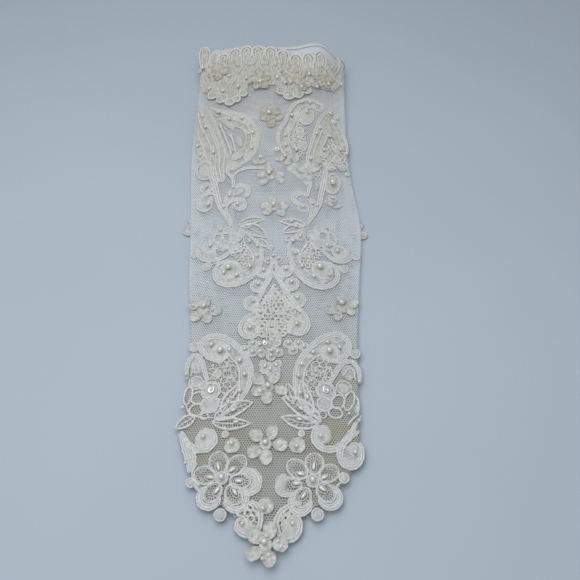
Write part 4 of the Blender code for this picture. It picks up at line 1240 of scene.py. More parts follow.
def centre_teardrop(p):
    p.net([(-2.2, -25.0), (2.5, -31.0), (7.0, -38.0), (11.5, -47.0), (8.0, -60.0), (-2.0, -66.0),
           (-11.0, -61.0), (-14.5, -48.0), (-9.0, -37.0), (-5.4, -31.0)], 2.5, 0.8)
    p.cord([(-3.4, -7.0, 0.5), (-4.6, -17.0, 0.9), (-7.6, -27.0, 1.0), (-11.4, -37.0, 1.0),
            (-16.0, -45.6, 0.8)], 3.4, lanes=3)
    p.cord([(-1.8, -7.0, 0.5), (-0.2, -17.0, 0.9), (3.4, -27.0, 1.0), (8.2, -36.0, 1.0),
            (14.4, -44.8, 0.8)], 3.4, lanes=3)
    for side, x in ((-1, -4.4), (1, -0.6)):
        for k, (far, low) in enumerate(((5.4, -21.0), (7.4, -31.0))):
            p.fill([(x, -10.0 - 7 * k), (x + side * far * 0.7, low + 5.0), (x + side * far, low),
                    (x + side * far * 0.55, low - 2.0)], 0.3, 0.3)
    p.fill([(-13.6, -46.0), (-19.6, -50.0), (-20.6, -57.0), (-15.0, -58.0), (-11.0, -51.0)], 0.25)
    p.fill([(11.4, -46.0), (16.8, -49.0), (18.6, -55.0), (12.6, -57.0), (8.6, -51.0)], 0.25)
    curls = ((-9.3, -16.8, 3.9, -4.2, -1), (-12.1, -27.0, 4.6, -4.6, -1),
             (-14.8, -39.4, 5.6, -5.2, -1), (4.6, -15.8, 4.4, -1.6, 1), (8.2, -25.4, 5.0, -0.8, 1),
             (11.8, -36.8, 5.8, 0.4, 1))
    for x, y, radius, start_x, sense in curls:
        foot = (x - sense * radius * 0.9, y - radius * 0.55)
        stem = [(-2.8, y + 9.0, 0.7), (start_x + sense * 0.5, y + 3.5, 1.0),
                (foot[0], foot[1] + 1.0, 1.1)]
        p.cord(stem + spiral(x, y, radius, 270 - sense * 25, 1.15, 1.1, 0.42, sense), 2.3, lanes=2)
        p.patch(x, y, radius * 0.75, height=0.25, look=GROUND)
        p.pearl(x + 0.4, y + 0.6, 1.15, height=p.base + 0.9)
    for x, y, radius, sense in ((-15.2, -58.2, 6.2, 1), (12.2, -55.2, 6.6, -1)):
        top = (x + sense * radius * 0.55, y + radius * 2.1)
        p.cord([(top[0], top[1], 0.5), (x - sense * radius * 0.55, y + radius * 1.35, 0.9),
                (x - sense * radius * 0.98, y + radius * 0.5, 1.1)]
               + spiral(x, y, radius, 180 if sense > 0 else 0, 1.35, 1.15, 0.4, sense),
               2.6, lanes=2)
        p.patch(x, y, radius * 0.8, height=0.2, dome=0.1, look=GROUND)
        p.pearl(x - 0.4, y + 0.8, 1.2, height=p.base + 0.9)
    for x, y, turn in ((-7.4, -46.0, 60), (1.8, -46.0, 120), (-10.0, -54.0, 20), (4.6, -53.4, 160),
                       (-7.0, -62.0, 40), (1.4, -62.0, 140), (-2.8, -44.4, 90), (-2.8, -64.0, 90),
                       (-2.8, -31.6, 90), (5.4, -41.0, 120), (-10.4, -41.6, 60)):
        p.patch(x, y, 2.6, 1.6, turn, 0.4, 0.5, pitch=0.7)
    p.blossom(-3.0, -37.0, 4.0, 18)
    p.blossom(-2.8, -56.0, 5.2, 54, count=7)
    for x, y in ((6.0, -45.4), (-10.0, -46.6)):
        p.disc(x, y, 2.2, pearl=True)
    p.pearl(-3.4, -50.4, 1.0)
    for x, y in ((-3.0, -5.0), (0.0, -7.4), (-6.4, -8.0)):
        p.disc(x, y, 2.1, pearl=True)
    p.disc(-5.0, 2.4, 1.7)
    p.cord([(-5.0, 1.0, 0.8), (-3.6, -2.4, 0.8)], 1.1)
    for x, y in ((-18.0, -71.6), (-13.4, -67.8), (-13.6, -73.6), (-9.6, -69.0), (7.0, -67.6),
                 (12.8, -67.4), (9.8, -72.0), (16.0, -69.6), (-2.8, -76.0)):
        p.disc(x, y, 2.5, pearl=True)
    for x, y in ((-8.2, -74.0), (1.6, -73.6), (0.2, -67.2), (-5.6, -68.0), (-3.0, -71.6)):
        p.petal(x, y, 2.9, 2.7, self_turn(x, y), cup=0.5, rim=0.25, crinkle=0.15)
    p.pearl(-2.6, -72.8, 1.1, height=p.base + 0.9)
    for x, y, radius in ((-6.4, -67.8, 1.6), (-8.6, -72.8, 1.1), (1.2, -73.0, 1.1)):
        p.spangle(x, y, radius)


def self_turn(x, y):
    """A turn in degrees that differs from place to place."""
    return (x * 37 + y * 53) % 360


def mid_paisley_left(p):
    outer = [(-25.0, 18.0, 0.4), (-17.0, 10.5, 0.6), (-11.6, 3.0, 0.65), (-10.4, -5.0, 0.75),
             (-12.0, -13.5, 0.85), (-16.6, -20.6, 1.0), (-23.4, -25.2, 1.1), (-30.6, -26.0, 1.1),
             (-36.6, -22.6, 1.05), (-39.2, -16.4, 0.95), (-38.4, -10.8, 0.8),
             (-34.6, -7.8, 0.7)]
    p.cord(outer + spiral(-29.8, -14.8, 6.8, 92, 1.1, 0.6, 0.5, sense=-1), 4.2, lanes=3)
    p.cord([(-22.6, 13.0, 0.6), (-21.8, 6.0, 1.0), (-17.4, -1.0, 1.1), (-15.6, -7.0, 1.1),
            (-17.6, -13.4, 1.0), (-22.0, -18.0, 0.8)], 1.5)
    p.fill([(-12.0, 2.0), (-12.0, -9.0), (-15.0, -15.0), (-19.6, -20.6), (-26.0, -23.6),
            (-32.8, -22.8), (-37.2, -18.0), (-37.0, -11.6), (-31.0, -9.4), (-26.0, -9.4),
            (-23.0, -13.6), (-18.6, -13.0), (-16.2, -7.0), (-17.6, 1.0)], 0.25)
    p.well(-30.2, -15.0, 5.6, 6.0)
    p.net([(-22.6, 7.0), (-18.0, -1.0), (-16.0, -7.0), (-19.0, -13.0), (-24.0, -13.0),
           (-27.0, -7.0), (-30.0, -1.0), (-28.0, 8.0)], 2.4, 0.7)
    p.blossom(-20.6, -4.6, 3.6, 30)
    p.blossom(-24.6, 1.6, 2.8, 0, pearl=False)
    p.leaf((-26.5, 21.6), (-9.4, 26.0), 4.8, bend=1.0)
    p.leaf((-25.6, 20.6), (-7.2, 10.4), 7.4, bend=1.4)
    p.leaf((-13.4, 9.4), (-6.4, 2.4), 3.4)
    p.rice(-18.6, 7.6, 85)
    for x, y in ((-33.6, -17.4), (-25.4, -20.0), (-17.4, -13.4), (-13.4, 3.0), (-13.6, -5.2)):
        p.pearl(x, y, 1.15)
    p.pearl(-19.4, 18.4, 0.9)


def mid_paisley_right(p):
    outer = [(17.6, 19.0, 0.4), (10.4, 11.0, 0.6), (6.6, 3.0, 0.65), (7.2, -5.4, 0.75),
             (9.8, -13.4, 0.85), (14.6, -20.6, 1.0), (21.0, -25.6, 1.1), (27.8, -26.4, 1.1),
             (33.8, -23.6, 1.0), (37.0, -18.0, 0.9), (36.4, -12.0, 0.8), (33.0, -8.6, 0.7)]
    p.cord(outer + spiral(26.8, -13.6, 6.0, 60, 1.1, 0.6, 0.5), 4.2, lanes=3)
    p.cord([(16.6, 12.0, 0.6), (17.6, 5.0, 1.0), (14.4, -1.6, 1.1), (13.6, -8.0, 1.1),
            (16.4, -14.4, 1.0), (21.0, -18.6, 0.8)], 1.5)
    p.fill([(8.0, 2.0), (9.0, -8.0), (12.0, -14.6), (17.4, -20.8), (24.0, -24.0), (30.6, -23.0),
            (35.0, -18.0), (34.6, -12.6), (28.6, -9.0), (23.4, -9.4), (20.6, -14.0),
            (17.0, -14.0), (13.6, -8.0), (14.0, 1.0)], 0.25)
    p.well(27.6, -14.2, 5.4, 5.8)
    p.net([(17.6, 6.0), (14.6, -1.0), (14.0, -8.0), (17.0, -13.0), (22.0, -12.0),
           (25.0, -6.0), (27.0, 0.0), (23.0, 9.0)], 2.4, 0.7)
    p.blossom(18.0, -2.6, 3.8, 20)
    p.blossom(21.6, 4.0, 2.6, 0, pearl=False)
    p.leaf((17.4, 20.8), (0.4, 23.8), 4.6, bend=-0.8)
    p.leaf((16.4, 19.8), (2.4, 14.0), 5.6, bend=-1.0)
    p.leaf((8.6, 10.6), (4.0, 7.6), 2.8)
    p.fill([(10.6, 17.0), (16.6, 18.0), (17.6, 12.0), (14.6, 7.6), (10.8, 9.0)], 0.3, 0.3,
           look=STITCH)
    p.rice(14.0, 11.6, 80)
    for x, y in ((15.0, -13.0), (22.4, -20.0), (32.0, -17.4), (10.8, -3.0), (9.2, 6.6),
                 (11.0, 18.8), (8.0, 23.2)):
        p.pearl(x, y, 1.15)


def mid_scroll_left(p):
    p.cord([(-50.8, 9.8, 0.5), (-52.2, 4.0, 0.8), (-49.0, -2.6, 1.0), (-42.4, -5.8, 1.1),
            (-35.6, -4.8, 1.05), (-31.0, -0.6, 0.9), (-28.6, 5.6, 0.7)], 3.4, lanes=2)
    p.cord([(-44.6, -10.6, 0.7), (-40.0, -8.6, 1.0), (-34.6, -7.4, 0.8)], 1.5)
    p.eye(-44.2, 6.2, 4.6, 2.2, 3.6)
    p.fill([(-51.0, 8.0), (-50.6, 1.0), (-45.0, -4.4), (-38.4, -4.0), (-39.6, 0.6), (-40.6, 5.0),
            (-44.0, 10.0)], 0.3, 0.2)
    p.disc(-53.6, 1.6, 2.6)
    p.disc(-44.8, -10.0, 2.8)
    for x, y, long, wide, turn in ((-39.2, 12.6, 4.0, 2.7, 80), (-33.6, 12.4, 4.6, 2.5, 115)):
        p.ring(x, y, long, 1.9, wide, turn, lanes=2)
    for x, y, radius in ((-27.8, 10.6, 3.7), (-35.6, 5.0, 3.7), (-29.2, 4.0, 3.6),
                         (-38.6, 17.4, 2.4), (-33.6, 17.8, 2.6), (-28.4, 16.8, 2.9),
                         (-24.4, 14.0, 2.4)):
        p.disc(x, y, radius)
    p.cord([(-24.6, 4.0, 0.7), (-23.0, 1.0, 1.0), (-27.0, -1.6, 1.0), (-31.0, -1.0, 0.8)], 1.9)
    p.pearl(-44.0, 6.0, 1.25, height=p.base + 0.9)
    p.pearl(-38.0, 18.0, 1.0)


def mid_scroll_right(p):
    p.cord([(47.6, 3.0, 0.5), (45.6, -1.6, 0.8), (41.0, -5.2, 1.0), (35.6, -5.2, 1.05),
            (31.0, -2.0, 0.9), (27.4, 3.0, 0.7)], 3.4, lanes=2)
    p.cord([(40.6, -10.6, 0.7), (36.0, -9.4, 1.0), (32.0, -7.0, 0.8)], 1.5)
    p.eye(38.8, 2.2, 4.4, 2.0, 3.4)
    p.fill([(47.0, 1.0), (42.0, -4.6), (36.0, -4.8), (33.4, -2.4), (36.6, -1.4), (41.0, 4.0),
            (43.6, 6.4)], 0.3, 0.2)
    p.disc(49.2, 0.8, 2.6)
    p.disc(41.0, -10.4, 2.8)
    for x, y, long, wide, turn in ((28.6, 13.8, 3.8, 3.0, 60), (34.2, 12.4, 4.6, 2.4, 105)):
        p.ring(x, y, long, 1.9, wide, turn, lanes=2)
    for x, y, radius in ((22.2, 13.0, 3.9), (24.2, 6.8, 3.6), (30.6, 18.6, 2.5), (25.4, 18.0, 2.8)):
        p.disc(x, y, radius)
    p.eye(32.0, 6.2, 3.8, 1.7, 3.0)
    p.cord([(21.0, 9.6, 0.7), (20.4, 6.6, 1.0), (24.4, 2.4, 1.0), (29.6, 2.2, 0.8)], 1.9)
    p.spangle(32.0, 6.2, 2.0)
    p.pearl(37.6, 2.0, 1.25, height=p.base + 0.9)
    p.pearl(31.0, 19.8, 1.0)


def arm_scroll_left(p):
    p.cord([(-30.6, 21.0, 0.35), (-35.0, 29.6, 0.7), (-39.6, 39.0, 0.95), (-42.6, 49.0, 1.05),
            (-45.0, 59.0, 1.05), (-48.0, 69.0, 0.95), (-51.0, 78.0, 0.6)], 4.8, lanes=3)
    p.cord([(-43.0, 49.0, 0.5), (-47.0, 51.4, 0.9), (-52.0, 50.4, 1.1), (-55.0, 45.8, 1.1),
            (-54.0, 39.8, 1.05), (-50.2, 37.2, 1.0), (-46.6, 38.6, 0.8), (-46.0, 42.2, 0.7),
            (-48.8, 43.4, 0.5)], 3.0, lanes=2)
    p.patch(-49.8, 44.4, 5.8, height=0.25, dome=0.15, look=CLOTH)
    p.patch(-27.6, 38.6, 4.2, 3.6, height=0.25)
    p.ring(-50.6, 57.0, 5.0, 1.9, 3.4, 105, lanes=2)
    p.patch(-50.6, 57.0, 4.2, 2.6, 105, 0.25, look=CLOTH)
    p.ring(-53.0, 74.0, 8.6, 2.4, 5.6, 108, lanes=2)
    p.patch(-53.0, 74.0, 7.0, 4.2, 108, 0.25)
    p.cord([(-30.0, 23.0, 0.4), (-33.6, 31.0, 0.8), (-36.6, 39.6, 1.0), (-35.4, 47.0, 1.05),
            (-31.8, 53.6, 1.05), (-32.0, 61.0, 1.05), (-36.4, 68.0, 1.0), (-36.0, 75.0, 0.7)],
           2.7, lanes=2)
    p.cord([(-36.6, 36.6, 0.5), (-32.6, 41.6, 0.8), (-28.0, 43.2, 1.0), (-23.8, 41.4, 1.1),
            (-22.8, 37.0, 1.0), (-25.6, 34.6, 0.9), (-29.0, 36.0, 0.7)], 3.4, lanes=2)
    p.cord([(-34.0, 50.6, 0.5), (-30.6, 54.0, 0.9), (-26.0, 55.2, 1.1), (-22.0, 52.6, 1.15),
            (-21.6, 47.6, 1.0), (-24.2, 45.2, 0.8)], 3.8, lanes=3)
    p.fill([(-33.6, 50.0), (-29.0, 53.0), (-24.6, 53.0), (-25.0, 49.0), (-30.0, 47.0)], 0.25,
           look=STITCH)
    for i in range(6):
        p.ring(-31.0 - 0.25 * i * (i > 3), 26.0 + 2.0 * i, 1.0, 0.8)
        p.ring(-36.6 + 0.55 * i, 34.4 + 2.0 * i, 1.0, 0.8)
    p.ring(-41.0, 64.0, 4.6, 1.3, 1.8, 110)
    p.cord([(-33.4, 61.0, 0.5), (-30.6, 66.4, 0.8), (-24.6, 70.0, 1.0), (-17.0, 70.6, 1.0),
            (-10.4, 69.8, 0.6)], 3.2, lanes=2)
    p.fill([(-37.0, 72.0), (-32.0, 69.0), (-26.0, 73.0), (-30.0, 77.0), (-36.0, 80.0)], 0.3, 0.3,
           look=STITCH)
    p.fill([(-35.4, 46.0), (-33.0, 52.6), (-29.6, 51.6), (-30.4, 45.0), (-33.6, 40.0)], 0.3)
    p.fill([(-47.0, 68.0), (-47.0, 86.0), (-37.0, 87.0), (-34.0, 79.0), (-37.4, 68.0),
            (-41.0, 60.0), (-44.4, 62.0)], 0.15, look=GROUND)
    for x0, x1, top in ((-44.6, -45.8, 88.0), (-42.0, -42.6, 86.0), (-39.4, -39.4, 88.0)):
        p.cord([(x0 + 2.0, 61.0, 0.6), (x0 + 0.4, 68.0, 1.0), (x1, 77.0, 1.0), (x1, top, 0.7)],
               1.7)
    for x, y, radius in ((-48.0, 41.0, 1.5), (-50.4, 57.4, 1.2), (-32.0, 53.0, 1.05),
                         (-33.8, 46.4, 1.2), (-37.0, 37.0, 1.05), (-28.0, 38.6, 1.1)):
        p.pearl(x, y, radius)


def arm_scroll_right(p):
    p.cord([(18.4, 22.0, 0.35), (22.6, 30.6, 0.7), (26.2, 40.6, 0.95), (28.0, 50.6, 1.0),
            (29.8, 61.0, 1.05), (31.0, 70.0, 0.9), (32.6, 77.0, 0.6)], 4.4, lanes=3)
    p.cord([(18.6, 24.0, 0.4), (20.6, 32.6, 0.8), (21.6, 40.0, 1.0), (18.8, 46.4, 1.05),
            (19.4, 52.4, 1.05), (20.8, 60.0, 1.0), (16.8, 67.6, 0.9), (10.0, 73.6, 0.6)],
           2.7, lanes=2)
    p.ring(35.8, 61.4, 9.0, 2.2, 4.8, 82, lanes=2)
    p.patch(35.8, 61.0, 8.2, 4.2, 82, 0.2, look=GROUND)
    p.disc(35.4, 47.4, 2.7, pearl=True)
    p.petal(38.4, 41.0, 3.4, 1.8, 35, cup=0.5, look=ORGANZA)
    p.petal(33.4, 42.0, 2.6, 1.7, 150, cup=0.5, look=ORGANZA)
    p.cord([(28.0, 42.0, 0.6), (32.0, 44.4, 0.8), (35.0, 46.6, 0.8)], 1.5)
    p.ring(15.4, 36.4, 3.3, 1.6, lanes=2)
    p.patch(15.4, 36.4, 2.6, height=0.25, pitch=0.8)
    p.cord([(19.6, 46.0, 0.5), (15.8, 48.8, 0.9), (11.2, 47.6, 1.1), (9.2, 43.6, 1.1),
            (11.6, 39.8, 0.9), (14.8, 39.6, 0.6)], 4.2, lanes=3)
    p.cord([(18.0, 31.0, 0.6), (19.4, 34.6, 0.9), (19.0, 38.0, 0.8)], 1.4)
    p.net([(22.6, 66.0), (24.6, 54.0), (28.0, 60.0), (28.0, 74.0), (20.0, 76.0), (14.0, 74.0)],
          2.4, 0.65)
    p.fill([(17.6, 57.0), (22.0, 60.0), (24.4, 70.0), (20.0, 77.0), (8.0, 76.0), (2.4, 71.6),
            (9.0, 65.6)], 0.25)
    for x, y, turn in ((20.0, 64.0, 70), (14.0, 69.6, 140), (23.4, 71.4, 60)):
        p.petal(x, y, 3.2, 2.4, turn, cup=0.4)
    p.fill([(19.4, 46.0), (23.6, 44.0), (25.0, 38.0), (22.4, 34.0), (21.6, 40.0)], 0.3)
    for x, y, radius in ((36.0, 60.6, 2.0), (35.6, 47.0, 1.2), (15.4, 36.4, 1.2),
                         (19.0, 46.0, 1.05), (22.0, 40.0, 1.15), (25.0, 39.0, 1.0)):
        p.pearl(x, y, radius)


def arm_paisley_left_inner(p):
    outer = [(-31.0, 74.0, 0.5), (-23.6, 77.0, 0.8), (-18.8, 85.0, 0.95), (-16.6, 95.0, 1.0),
             (-17.2, 105.0, 1.0), (-21.4, 115.0, 1.0), (-28.6, 121.6, 1.0), (-38.0, 125.6, 1.0),
             (-46.0, 129.0, 0.9), (-54.0, 135.6, 0.5)]
    p.cord(outer, 3.4, lanes=3)
    band = [q[:2] for q in outer[1:9]]
    p.fill(band + [(-33.0 + (x + 33.0) * 0.72, 98.0 + (y - 98.0) * 0.72) for x, y in band[::-1]],
           0.2)
    p.nested(band, -33.0, 98.0, (0.74, 0.5), 1.4)
    p.bars(band, -33.0, 98.0, 0.74, 0.5, 26)
    p.bars(band, -33.0, 98.0, 0.92, 0.76, 30, 0.7)
    for points in (((-37.4, 82.0), (-40.4, 93.0), (-44.6, 106.0), (-48.8, 119.0), (-54.0, 131.0)),
                   ((-34.6, 84.0), (-37.6, 95.0), (-41.4, 106.0), (-45.4, 116.0)),
                   ((-31.6, 86.0), (-34.0, 96.0), (-36.0, 104.0)),
                   ((-35.0, 119.6), (-42.0, 124.6), (-49.0, 128.6))):
        p.cord(points, 1.9, lanes=2 if len(points) == 5 else 1)
    p.stitch([(-46.0, 121.0, 0.4), (-42.0, 117.6, 0.9), (-37.0, 112.4, 1.1),
              (-34.0, 108.0, 0.7)], 4.6, height=0.9)
    p.patch(-29.4, 96.0, 6.0, 2.4, 105, 0.5, 0.4)
    p.patch(-25.0, 106.0, 4.6, 2.0, 130, 0.5, 0.4)
    p.patch(-30.4, 82.4, 4.0, 2.6, 40, 0.5, 0.4)
    p.ring(-30.4, 82.4, 4.2, 1.2, 2.8, 40)
    p.spangle(-13.6, 80.0, 2.0)
    p.petal(-13.0, 76.4, 2.8, 2.4, 200, cup=0.4)
    p.petal(-17.6, 76.0, 2.8, 2.2, 120, cup=0.4)
    for x, y, long, turn in ((-34.6, 90.0, 3.6, 110), (-37.0, 103.0, 3.6, 110),
                             (-40.6, 110.6, 3.6, 115), (-48.0, 124.6, 3.0, 130)):
        u, v = long * math.cos(math.radians(turn)), long * math.sin(math.radians(turn))
        p.stitch([(x - u, y - v, 0.4), (x, y, 1.0), (x + u, y + v, 0.4)], 2.2, height=0.9)
    for x, y in ((-20.6, 88.0), (-20.4, 103.0), (-28.6, 117.6), (-46.0, 126.0), (-38.0, 117.6)):
        p.pearl(x, y)


def arm_paisley_left_outer(p):
    p.fill([(-43.0, 84.0), (-46.0, 98.0), (-51.0, 111.0), (-57.0, 125.0), (-61.0, 138.0),
            (-55.0, 133.0), (-49.4, 120.0), (-44.6, 107.0), (-40.4, 95.0), (-38.4, 84.0)], 0.15,
           look=GROUND)
    p.fill([(-56.0, 79.0), (-48.0, 80.0), (-43.6, 86.0), (-46.0, 98.0), (-51.0, 111.0),
            (-57.0, 124.0), (-62.4, 139.0), (-63.0, 122.0), (-62.4, 105.0), (-60.0, 90.0)], 0.25,
           look=GROUND)
    p.vein([(-42.4, 82.0), (-45.6, 96.0), (-51.0, 111.0), (-57.0, 124.6), (-62.0, 141.0)], 3.0,
           lanes=2)
    p.vein([(-47.0, 82.0), (-50.4, 96.0), (-55.4, 109.0), (-60.4, 122.0), (-62.6, 134.0)], 1.8)
    p.vein([(-51.4, 81.0), (-54.8, 93.0), (-59.0, 105.0), (-61.8, 116.0)], 1.5)
    p.vein([(-56.0, 82.0), (-59.0, 92.0), (-61.6, 101.0)], 1.3)
    p.disc(-57.4, 88.6, 2.8, pearl=True)
    p.ring(-57.6, 97.6, 2.8, 1.3)
    p.patch(-48.6, 93.0, 4.4, 2.0, 105, 0.5, 0.4)
    p.patch(-53.0, 103.6, 4.4, 1.8, 112, 0.5, 0.4)
    p.patch(-58.2, 114.0, 4.4, 1.6, 105, 0.5, 0.4)
    for x, y in ((-60.2, 98.0), (-55.6, 115.0), (-47.6, 88.0), (-58.4, 127.0)):
        p.pearl(x, y)


def arm_paisley_right_inner(p):
    outer = [(7.4, 76.0, 0.4), (3.0, 83.0, 0.7), (-0.8, 91.0, 0.9), (-2.4, 99.0, 1.0),
             (-1.0, 107.0, 1.0), (2.8, 115.6, 1.0), (5.4, 125.0, 1.0), (9.6, 133.0, 1.0),
             (16.0, 137.8, 1.0), (23.6, 138.2, 1.0), (30.0, 134.6, 0.9), (28.0, 129.6, 0.7),
             (23.0, 131.6, 0.5)]
    p.cord(outer, 3.4, lanes=3)
    p.fill([(6.0, 80.0), (1.6, 90.0), (0.4, 99.0), (4.6, 112.0), (7.6, 124.0), (12.6, 133.4),
            (20.0, 136.4), (27.6, 133.6), (21.0, 130.4), (15.0, 129.0), (11.6, 121.0),
            (7.0, 110.0), (5.4, 98.0), (8.6, 84.0)], 0.2)
    band = [(5.4, 84.0), (1.2, 97.0), (4.0, 109.0), (7.6, 119.0), (10.2, 129.0), (17.6, 134.6)]
    p.nested(band, 16.0, 106.0, (0.72, 0.5), 1.4)
    p.bars(band, 16.0, 106.0, 0.98, 0.74, 24, 0.75)
    p.bars(band, 16.0, 106.0, 0.72, 0.5, 18)
    p.net([(12.0, 82.0), (8.4, 92.0), (9.0, 102.0), (12.0, 113.0), (15.4, 111.0), (17.8, 100.0),
           (17.0, 86.0)], 2.6, 0.7)
    p.cord([(20.6, 131.0, 0.6), (15.0, 126.0, 1.0), (13.4, 119.0, 1.1), (16.8, 114.2, 1.1),
            (21.0, 116.8, 1.1), (22.8, 123.0, 1.0), (21.6, 129.0, 0.6)], 2.8, lanes=2)
    p.patch(18.0, 121.4, 6.4, 3.6, 80, 0.35, 0.3)
    for x, y, long, wide, turn in ((15.0, 92.6, 4.0, 3.2, 90), (13.4, 104.6, 5.2, 2.4, 96)):
        p.patch(x, y, long * 0.9, wide * 0.9, turn, 0.45, 0.4)
        p.ring(x, y, long, 1.2, wide, turn)
    p.petal(-0.6, 79.0, 3.2, 2.4, 210, cup=0.4)
    p.petal(5.0, 76.0, 2.8, 2.2, 60, cup=0.4)
    p.petal(10.4, 79.6, 3.2, 2.2, 80, cup=0.4)
    p.spangle(-2.6, 87.0, 2.0)
    for x, y in ((18.4, 125.0), (3.4, 91.0), (3.0, 100.6), (7.4, 120.4), (14.8, 134.0),
                 (20.6, 134.6), (3.0, 80.6), (11.0, 87.0)):
        p.pearl(x, y)


def arm_paisley_right_outer(p):
    p.fill([(19.0, 74.0), (26.0, 76.0), (30.0, 92.0), (36.0, 106.0), (44.0, 98.0), (46.6, 106.0),
            (43.4, 118.0), (38.0, 130.0), (34.0, 131.0), (28.6, 120.0), (25.0, 108.0),
            (21.4, 96.0)], 0.25, look=GROUND)
    p.vein([(18.0, 72.0), (19.0, 84.0), (22.0, 97.0), (25.0, 110.0), (28.0, 121.0),
            (35.0, 132.6)], 3.0, lanes=2)
    p.vein([(22.4, 76.0), (23.4, 88.0), (26.6, 100.0), (30.0, 112.0)], 1.7)
    p.vein([(26.4, 80.0), (28.6, 91.0), (32.0, 101.0), (34.0, 110.0)], 1.4)
    p.vein([(45.6, 88.0), (47.2, 98.0), (45.8, 109.0), (42.4, 119.0), (38.0, 129.0)], 2.4,
           lanes=2)
    p.vein([(42.6, 104.0), (40.6, 112.0), (37.0, 121.0)], 1.4)
    p.net([(27.0, 78.0), (31.0, 90.0), (36.0, 104.0), (45.0, 98.0), (45.0, 84.0), (38.0, 76.0)],
          2.8, 0.8)
    for x, y, long, wide, turn in ((40.6, 97.0, 5.2, 3.6, 70), (38.4, 85.4, 4.2, 3.6, 20),
                                   (43.6, 80.0, 4.4, 3.0, 70), (31.2, 88.6, 4.6, 2.2, 75),
                                   (33.0, 111.0, 3.8, 2.4, 60), (34.4, 77.0, 3.6, 2.6, 110)):
        p.ring(x, y, long, 1.4, wide, turn)
        p.patch(x, y, long * 0.75, wide * 0.75, turn, 0.35, 0.3, pitch=0.8)
    for x, y in ((34.6, 106.0), (28.4, 112.0), (38.0, 121.0), (46.4, 72.0)):
        p.spangle(x, y, 1.8)
    for x, y in ((42.6, 95.0), (25.4, 105.0), (41.0, 126.0), (36.0, 128.4), (46.6, 92.0),
                 (30.6, 90.4), (21.0, 80.0)):
        p.pearl(x, y)


def trim_scallop(p, x, y, width):
    """One scallop of the edging's lower side: a round of close net, corded, under leaves."""
    half = width / 2
    p.fill([(x - half, y + 19.0), (x - half, y + width * 0.7), (x + half, y + width * 0.7),
            (x + half, y + 19.0)], 0.2, look=GROUND)
    p.patch(x, y + half, half * 0.9, dome=0.0, look=CLOTH)
    p.ring(x, y + half, half, 1.5)
    p.patch(x, y + half * 1.1, half * 0.46, half * 0.34, 90, 0.5, 0.4, pitch=0.8)
    for lean in (-0.5, 0.0, 0.5):
        p.stitch([(x + lean * half * 0.6, y + width * 0.95, 0.5),
                  (x + lean * half * 1.3, y + width * 0.95 + 4.4, 1.0),
                  (x + lean * half * 2.0, y + width * 0.95 + 9.6, 0.5)], 2.1, height=0.9)


def trim_petal(p, x, low, high, width, lean):
    """One loop of the edging's upper side: two cords round a slit, with a stitched heart."""
    middle = (low + high) / 2 + 1.0
    for part, wide in ((1.0, 2.1), (0.5, 1.6)):
        reach = width * part / 2
        top = high - (1 - part) * width * 0.45
        p.cord([(x - reach * 0.6, low, 0.8), (x - reach + lean * 0.5, middle, 1.0),
                (x - reach * 0.7 + lean, top - 1.7, 1.1), (x + lean, top, 1.15),
                (x + reach * 0.7 + lean, top - 1.7, 1.1), (x + reach + lean * 0.5, middle, 1.0),
                (x + reach * 0.6, low, 0.8)], wide)
    p.fill([(x - width * 0.25, low + 1.0), (x - width * 0.4 + lean * 0.5, middle),
            (x + lean, high - 1.2), (x + width * 0.4 + lean * 0.5, middle),
            (x + width * 0.25, low + 1.0)], 0.25, look=GROUND)
    for side in (-0.22, 0.22):
        p.stitch([(x + side * width * 0.6, low - 2.0, 0.5), (x + side * width, middle - 2.0, 1.0),
                  (x + side * width + lean, middle + 2.0, 0.5)], width * 0.17, height=0.7)
        p.patch(x + side * width * 1.6, low - 2.4, 3.0, 1.7, 90 + side * 90, 0.9, 0.5, pitch=0.8)


def arm_trim(p, left, right):
    """The edging's body: stitched leaves over close net, with rings and beads among them."""
    p.fill([(left, 152.6), ((left + right) / 2, 151.0), (right, 153.6), (right, 175.0),
            (left, 175.0)], 0.15, look=GROUND)
    count = round((right - left) / 4.4)
    for i in range(count):
        x = left + (right - left) * (i + 0.5) / count
        for y in (152.0, 162.5):
            lean = p.random.uniform(-4.2, 4.2)
            size = p.random.uniform(0.7, 1.15)
            x_now = x + p.random.uniform(-0.8, 0.8)
            p.stitch([(x_now - lean, y, 0.4), (x_now - lean * 0.3, y + 3.0 * size, 1.0),
                      (x_now + lean * 0.4, y + 6.8 * size, 1.0),
                      (x_now + lean, y + 10.0 * size, 0.4)], 2.5 * size, height=1.0)
            p.cord([(x_now - lean - 2.1, y, 0.8), (x_now - 2.2, y + 5.0, 1.0),
                    (x_now + lean - 1.7, y + 10.0, 0.8)], 1.0)
        if i % 3 == 1:
            p.ring(x, 157.0 + p.random.uniform(-2.0, 5.0), 2.4, 1.1)


